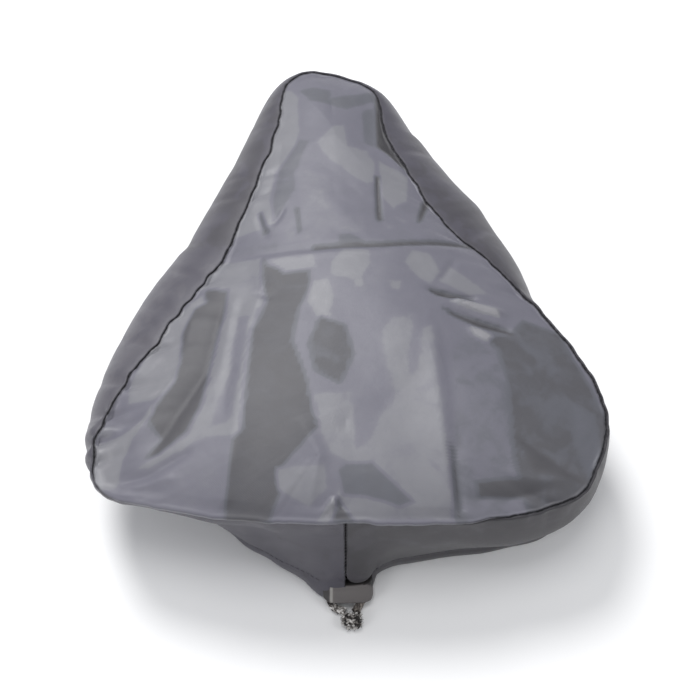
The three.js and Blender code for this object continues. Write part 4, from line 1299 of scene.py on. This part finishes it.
def close_tree(nodes, instances, material):
    """Random shades, then plain geometry with smooth faces and the material."""
    random = nodes.add("FunctionNodeRandomValue", {}, {"Seed": 9}, out=1)
    shaded = nodes.add("GeometryNodeStoreNamedAttribute", {"data_type": "FLOAT", "domain": "INSTANCE"},
                       {"Geometry": instances, "Name": "shade", "Value": random})
    real = nodes.add("GeometryNodeRealizeInstances", {}, {"Geometry": shaded})
    smooth = nodes.add("GeometryNodeSetShadeSmooth", {}, {"Geometry": real})
    done = nodes.add("GeometryNodeSetMaterial", {}, {"Geometry": smooth, "Material": material})
    exit_node = nodes.tree.nodes.new("NodeGroupOutput")
    nodes.tree.links.new(done.socket, exit_node.inputs["Geometry"])


def stored(nodes, geometry, name, kind, value):
    """Keeps a value at each point under a name."""
    return nodes.add("GeometryNodeStoreNamedAttribute", {"data_type": kind, "domain": "POINT"},
                     {"Geometry": geometry, "Name": name, "Value": value})


def spindle_tree():
    """Spindles at even steps along a line: one at each step, or a ring of them round it."""
    nodes, given = new_tree("spindles along a line", YARN_INPUTS)
    curve = nodes.add("GeometryNodeMeshToCurve", {}, {"Mesh": given["Geometry"]})
    steps = nodes.add("GeometryNodeResampleCurve", {"mode": "LENGTH"},
                      {"Curve": curve, "Length": given["Pitch"]})
    steps = stored(nodes, steps, "run", "FLOAT_VECTOR", nodes.add("GeometryNodeInputTangent"))
    steps = stored(nodes, steps, "step", "FLOAT", nodes.add("GeometryNodeInputIndex"))
    copies = nodes.add("GeometryNodeDuplicateElements", {"domain": "POINT"},
                       {"Geometry": steps, "Amount": given["Around"]})
    number = Wire(nodes, copies.socket.node.outputs["Duplicate Index"])
    run, out = (nodes.add("GeometryNodeInputNamedAttribute", {"data_type": "FLOAT_VECTOR"}, {"Name": name})
                for name in ("run", "out"))
    step = nodes.add("GeometryNodeInputNamedAttribute", {"data_type": "FLOAT"}, {"Name": "step"})
    side = run.vector("CROSS_PRODUCT", out).vector("NORMALIZE")
    up = side.vector("CROSS_PRODUCT", run)
    odd = step.math("MODULO", step, 2.0)
    angle = (number + 0.5 * odd) * 2 * math.pi
    angle = angle.math("DIVIDE", angle, given["Around"])
    cosine, sine = angle.math("COSINE", angle), angle.math("SINE", angle)
    outwards = up.scaled(cosine).vector("ADD", side.scaled(sine))
    round_it = side.scaled(cosine).vector("SUBTRACT", up.scaled(sine))
    lean = given["Lean"] * (1 - 2 * odd)
    ahead = run.vector("ADD", round_it.scaled(lean)).vector("NORMALIZE")
    moved = nodes.add("GeometryNodeSetPosition", {},
                      {"Geometry": copies, "Offset": outwards.scaled(given["Away"])})
    turn = nodes.add("FunctionNodeAxesToRotation", {"primary_axis": "X", "secondary_axis": "Z"},
                     {"Primary Axis": ahead, "Secondary Axis": outwards})
    size = nodes.add("FunctionNodeRandomValue", {}, {2: 1 - given["Uneven"], 3: 1 + given["Uneven"],
                                                     "Seed": given["Seed"]}, out=1)
    scale = nodes.add("ShaderNodeCombineXYZ", {}, {
        0: given["Long"] * size * 0.5, 1: given["Thick"] * size * 0.5, 2: given["Thick"] * 0.5})
    spindle = nodes.add("GeometryNodeMeshUVSphere", {}, {"Segments": 6, "Rings": 4, "Radius": 1.0})
    laid = nodes.add("GeometryNodeInstanceOnPoints", {}, {"Points": moved, "Instance": spindle,
                                                          "Rotation": turn, "Scale": scale})
    close_tree(nodes, laid, given["Material"])
    return nodes.tree


FIBRE_INPUTS = [("Density", "Float", 1e6), ("Long", "Float", 0.003), ("Thick", "Float", 0.0002),
                ("Seed", "Int", 1), ("Material", "Material", None)]


def fibre_tree():
    """Short bent fibres that stand out of a surface in all directions."""
    nodes, given = new_tree("fibres on a surface", FIBRE_INPUTS)
    spots = nodes.add("GeometryNodeDistributePointsOnFaces", {}, {
        "Mesh": given["Geometry"], "Density": given["Density"], "Seed": given["Seed"]})
    upright = Wire(nodes, spots.socket.node.outputs["Rotation"])
    wild = nodes.add("FunctionNodeRandomValue", {"data_type": "FLOAT_VECTOR"},
                     {0: (-1.0, -1.0, -3.1), 1: (1.0, 1.0, 3.1), "Seed": given["Seed"] + 5}, out=0)
    turn = nodes.add("FunctionNodeEulerToRotation", {}, {0: wild})
    turn = nodes.add("FunctionNodeRotateRotation", {"rotation_space": "LOCAL"},
                     {"Rotation": upright, "Rotate By": turn})
    line = nodes.add("GeometryNodeCurveQuadraticBezier", {}, {
        "Resolution": 4, "Start": (0.0, 0.0, 0.0), "Middle": (0.1, 0.0, 0.6), "End": (0.5, 0.2, 0.9)})
    ring = nodes.add("GeometryNodeCurvePrimitiveCircle", {}, {"Resolution": 3, "Radius": 1.0})
    ring = nodes.add("GeometryNodeTransform", {}, {
        "Geometry": ring, "Scale": nodes.add("ShaderNodeCombineXYZ", {}, {
            axis: given["Thick"].math("DIVIDE", given["Thick"], given["Long"]) * 0.5 for axis in (0, 1, 2)})})
    fibre = nodes.add("GeometryNodeCurveToMesh", {},
                      {"Curve": line, "Profile Curve": ring, "Fill Caps": True})
    size = nodes.add("FunctionNodeRandomValue", {}, {2: 0.4, 3: 1.2, "Seed": given["Seed"] + 2}, out=1)
    laid = nodes.add("GeometryNodeInstanceOnPoints", {}, {
        "Points": spots, "Instance": fibre, "Rotation": turn, "Scale": size * given["Long"]})
    close_tree(nodes, laid, given["Material"])
    return nodes.tree


FLOOR_CLEAR = 0.0001      # threads and fibres lie on the floor, not through it


def grown(made, tree, **values):
    """The plain mesh that a tree makes of an object, in its place."""
    modifier = made.modifiers.new("grown", "NODES")
    modifier.node_group = tree
    for socket in tree.interface.items_tree:
        if socket.in_out == "INPUT" and socket.name in values:
            modifier[socket.identifier] = values[socket.name]
    graph = bpy.context.evaluated_depsgraph_get()
    data = bpy.data.meshes.new_from_object(made.evaluated_get(graph))
    made.modifiers.clear()
    made.data = data
    for vertex in data.vertices:
        vertex.co.z = max(vertex.co.z, FLOOR_CLEAR)
    print(made.name, len(data.polygons), "faces")
    return made


def line_object(name, points, out):
    """An object of one open line of points in millimetres, with a direction kept at each."""
    data = bpy.data.meshes.new(name)
    data.from_pydata(placed(points).tolist(), [(i, i + 1) for i in range(len(points) - 1)], [])
    layer = data.attributes.new("out", "FLOAT_VECTOR", "POINT")
    layer.data.foreach_set("vector", np.ravel(out).astype(np.float32))
    made = bpy.data.objects.new(name, data)
    bpy.context.scene.collection.objects.link(made)
    return made


SPINDLES, FIBRES = spindle_tree(), fibre_tree()

# %% Finishes of threads and yarns


def yarn(name, stops, roughness):
    """Spun yarn: each spindle's own shade, and fine streaks."""
    f = Finish(name)
    place = f.add("ShaderNodeTexCoord", {}, {}, out="Object")
    shade = f.add("ShaderNodeAttribute", {"attribute_name": "shade"}, {}, out="Fac")
    streaks = f.add("ShaderNodeTexNoise", {}, {"Vector": place, "Scale": 1400.0, "Detail": 3.0})
    colour = f.add("ShaderNodeValToRGB", {"stops": stops}, {0: shade + (streaks - 0.5) * 0.5})
    fuzz = f.add("ShaderNodeBump", {}, {"Strength": 0.6, "Distance": 0.0002, "Height": streaks})
    return f.close(Base_Color=colour, Roughness=roughness, Normal=fuzz)


THREAD = yarn("thread", [(0.0, grey(30, 29, 33)), (1.0, grey(54, 52, 58))], 0.7)
HEM_THREAD = yarn("hem_thread", [(0.0, grey(70, 68, 74)), (1.0, grey(96, 94, 100))], 0.7)
SPECKLED = yarn("speckled_yarn", [
    (0.0, grey(26, 25, 26)), (0.30, grey(62, 58, 56)), (0.52, grey(140, 136, 132)),
    (1.0, grey(224, 221, 218))], 0.9)
BROWNISH = yarn("brownish_yarn", [(0.0, grey(66, 61, 58)), (1.0, grey(148, 140, 133))], 0.9)

# %% [markdown]
# The seams are sewn from inside, so that only dark flecks of thread show down in them. The casing is
# sewn through from the outside, in stitches of under three millimetres, one after the other.

# %% Stitches
SEAM_STITCH = {"Pitch": 0.0026, "Long": 0.0021, "Thick": 0.00042, "Uneven": 0.25, "Material": THREAD}
HEM_STITCH = {"Pitch": 0.0028, "Long": 0.0022, "Thick": 0.00045, "Uneven": 0.12, "Material": HEM_THREAD}
THREAD_UP = {"plain": -0.55, "rolled": -3.9, "out": 0.1}       # from the seam, in millimetres
SLIT_ROWS = slice(6, 38)                                       # rows of the band along the back seam
SLIT_IN = (0, 0.15, 0)
SEWN_FROM, SEWN_TO = 2.6, 98.2                                 # "at" where the casing is sewn through
PROUD = 0.05                                                   # the hem's thread lies this far out

seam_out, under_roll = outward(SEAM, COLUMNS), np.clip(ROLL(COLUMNS), 0, 1)
at_seam = seam_points(COLUMNS)
thread_line = beside(at_seam, seam_out, THREAD_UP["out"] * under_roll,
                     at_seam[:, 2] + mix(THREAD_UP["plain"], THREAD_UP["rolled"], under_roll))
seam_stitches = grown(line_object("seam_thread", thread_line, seam_out), SPINDLES, **SEAM_STITCH)
slit_line = 0.5 * (band_grid[SLIT_ROWS, 0] + band_grid[SLIT_ROWS, -1]) + SLIT_IN
backward = np.tile((0, -1, 0), (len(slit_line), 1))
slit_stitches = grown(line_object("back_seam_thread", slit_line, backward), SPINDLES, **SEAM_STITCH)
casing_row = BAND_BETWEEN * (len(BAND_EDGE) + WALL["upper"] + WALL["lower"] - 1)
sewn = (COLUMNS > SEWN_FROM) & (COLUMNS < SEWN_TO)
hem_out = outward(HEM, COLUMNS[sewn])
hem_line = band_grid[casing_row][sewn] + (0.5 * CLOTH + PROUD) * hem_out
hem_stitches = grown(line_object("hem_stitches", hem_line, hem_out), SPINDLES, **HEM_STITCH)

# %% [markdown]
# ## The knot
# Both cord ends are tied in one tight knot, and a centimetre of each end stands out of it, frayed. The
# cord's cover shows on the two strands, the knot's turns and the ends; loose fibres stand out of it.

# %% The knot and the braid
KNOT = {"x": 2.9, "y": -127.0, "z": 3.3, "wide": 3.1, "high": 1.9, "long": 4.8, "behind": 2.4}
KNOT_ANGLE = 4 * math.pi       # two turns
KNOT_STEP, KNOT_SIDES = 0.6, 12
KNOT_RADIUS, END_RADIUS = 1.3, 1.2
knot_turns = [(KNOT["x"] + KNOT["wide"] * math.cos(a),
               KNOT["y"] - KNOT["behind"] + KNOT["long"] * a / KNOT_ANGLE,
               KNOT["z"] + KNOT["high"] * math.sin(a)) for a in np.linspace(0, KNOT_ANGLE, 25)]
knot_line, _ = smooth_line(knot_turns, KNOT_STEP)
knot = tube("cord_knot_turns", placed(knot_line), KNOT_RADIUS * MM, KNOT_SIDES)
END_POINTS = [((1.8, -127.0, 3.0), (1.5, -128.8, 2.6), (1.8, -130.4, 2.3)),
              ((3.6, -127.0, 3.0), (4.2, -128.8, 2.6), (4.9, -130.2, 2.3))]
end_lines = [smooth_line(points, KNOT_STEP)[0] for points in END_POINTS]
ends = [tube(f"cord_end_{i + 1}", placed(line), END_RADIUS * MM, KNOT_SIDES)
        for i, line in enumerate(end_lines)]
BRAID = {"Pitch": 0.0011, "Around": 6, "Away": 0.00135, "Lean": 0.75, "Long": 0.0026, "Thick": 0.0013,
         "Uneven": 0.22}
SHOWN = 20                # route points of each strand that show, from its free end


def braid(name, line, material, **changes):
    """A braided cover round a line of points."""
    out = np.tile((0.1, 0.1, 1.0), (len(line), 1))
    return grown(line_object(name, line, out), SPINDLES, **{**BRAID, "Material": material, **changes})


braids = [braid("cord_braid_right", route[:SHOWN], BROWNISH),
          braid("cord_braid_left", route[-SHOWN:], SPECKLED, Seed=4),
          braid("knot_braid", knot_line, SPECKLED, Away=0.0012, Around=5, Seed=2),
          *(braid(f"end_braid_{i + 1}", line, SPECKLED, Away=0.001, Around=5, Seed=6 + i)
            for i, line in enumerate(end_lines))]


def copy_of(piece, name):
    made = bpy.data.objects.new(name, piece.data.copy())
    bpy.context.scene.collection.objects.link(made)
    return made


FIBRE_ROWS = [
    ("knot_fibres", "knot_braid", {"Density": 6e5, "Long": 0.0013, "Thick": 0.00022}),
    ("end_fibres", "end_braid_2", {"Density": 7e5, "Long": 0.0016, "Thick": 0.00022}),
    ("end_fibres_left", "end_braid_1", {"Density": 7e5, "Long": 0.0013, "Thick": 0.00022}),
    ("strand_fibres", "cord_braid_left", {"Density": 1.5e5, "Long": 0.0008, "Thick": 0.0002}),
]
braid_named = {piece.name: piece for piece in braids}
fibres = [grown(copy_of(braid_named[source], name), FIBRES, Material=SPECKLED, **looks)
          for name, source, looks in FIBRE_ROWS]
for piece in (cord_core, knot, *ends):
    wear(piece, BROWNISH)

# %% [markdown]
# ## Light and floor
# The light is soft and comes from above. The strongest lamp stands beyond the front end, opposite the
# camera, so that the coating shines toward the lens and every crease shows. A weaker one hangs over the
# cover, and two weak ones at the sides and an even pale sky keep the band from going black. The cover
# lies on pale paper.

# %% The studio
SKY = {"Color": (0.93, 0.95, 1.0, 1), "Strength": 0.42}
AIM = (0, 0, 0.04)
LAMPS = table("name place size power", [
    ("key", (-0.36, 0.62, 1.13), 0.5, 13),
    ("top", (-0.1, 0.0, 1.3), 0.6, 4),
    ("fill left", (-0.8, -0.7, 0.6), 0.5, 2.4),
    ("fill right", (0.9, -0.3, 0.9), 0.5, 2.2),
])
PAPER = {"half": 3, "below": 0.0003, "colour": (0.9, 0.9, 0.9, 1), "rough": 0.9}

scene = bpy.context.scene
scene.view_settings.view_transform = "Standard"
world = bpy.data.worlds.new("studio")
scene.world = world
world.use_nodes = True
for socket, value in SKY.items():
    world.node_tree.nodes["Background"].inputs[socket].default_value = value


def softbox(name, place, size, power):
    """A round soft lamp that points at the cover."""
    light = bpy.data.lights.new(name, "AREA")
    light.shape, light.size = "DISK", size
    light.energy = power
    lamp = bpy.data.objects.new(name, light)
    scene.collection.objects.link(lamp)
    lamp.location = place
    lamp.rotation_euler = (Vector(AIM) - Vector(place)).to_track_quat("-Z", "Y").to_euler()


for lamp_row in LAMPS:
    softbox(**lamp_row)

floor_mesh = bmesh.new()
bmesh.ops.create_grid(floor_mesh, x_segments=1, y_segments=1, size=PAPER["half"])
floor = finished("floor", floor_mesh, smooth=False)
floor.data.transform(Matrix.Translation((0, 0, -PAPER["below"])))
wear(floor, Finish("floor_paper").close(Base_Color=PAPER["colour"], Roughness=PAPER["rough"]))
print(len(LAMPS), "lamps and a sheet of paper")

# %% [markdown]
# ## Flat sizes
# The top's flat area comes from its pattern: the seam's outline seen from above and a seam allowance all
# round. The band is a straight strip as long as the seam, and as wide as its way from the cut edge over
# the wall and round the casing. Its hem is drawn in by the elastic, so more cloth is cut than the drawn
# area.

# %% The flat area of the top


def plan_area(at):
    """Area inside the seam, seen from above, in square millimetres."""
    x, y = SEAM["x"](at), SEAM["y"](at)
    return 0.5 * abs(np.dot(x, np.roll(y, -1)) - np.dot(y, np.roll(x, -1)))


TOP_AREA = (plan_area(COLUMNS[:-1]) + ALLOWANCE * SEAM_LENGTH) * MM**2

# %% [markdown]
# ## Riding on the frame
# Nothing on the cover moves, so every piece rides on the one body, "root". Four of them take the places of
# the four solids, which are hidden.

# %% Riding on the frame
KNOT_PIECES = [knot, *ends, *braids, *fibres]
STITCHES = [seam_stitches, slit_stitches, hem_stitches]
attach(top_panel, "root")
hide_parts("top_panel")
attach(side_band, "root")
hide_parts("side_band")
for piece in (tab, *STITCHES):
    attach(piece, "root")
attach(cord_core, "root")
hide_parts("drawcord")
for piece in KNOT_PIECES:
    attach(piece, "root")
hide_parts("cord_knot")
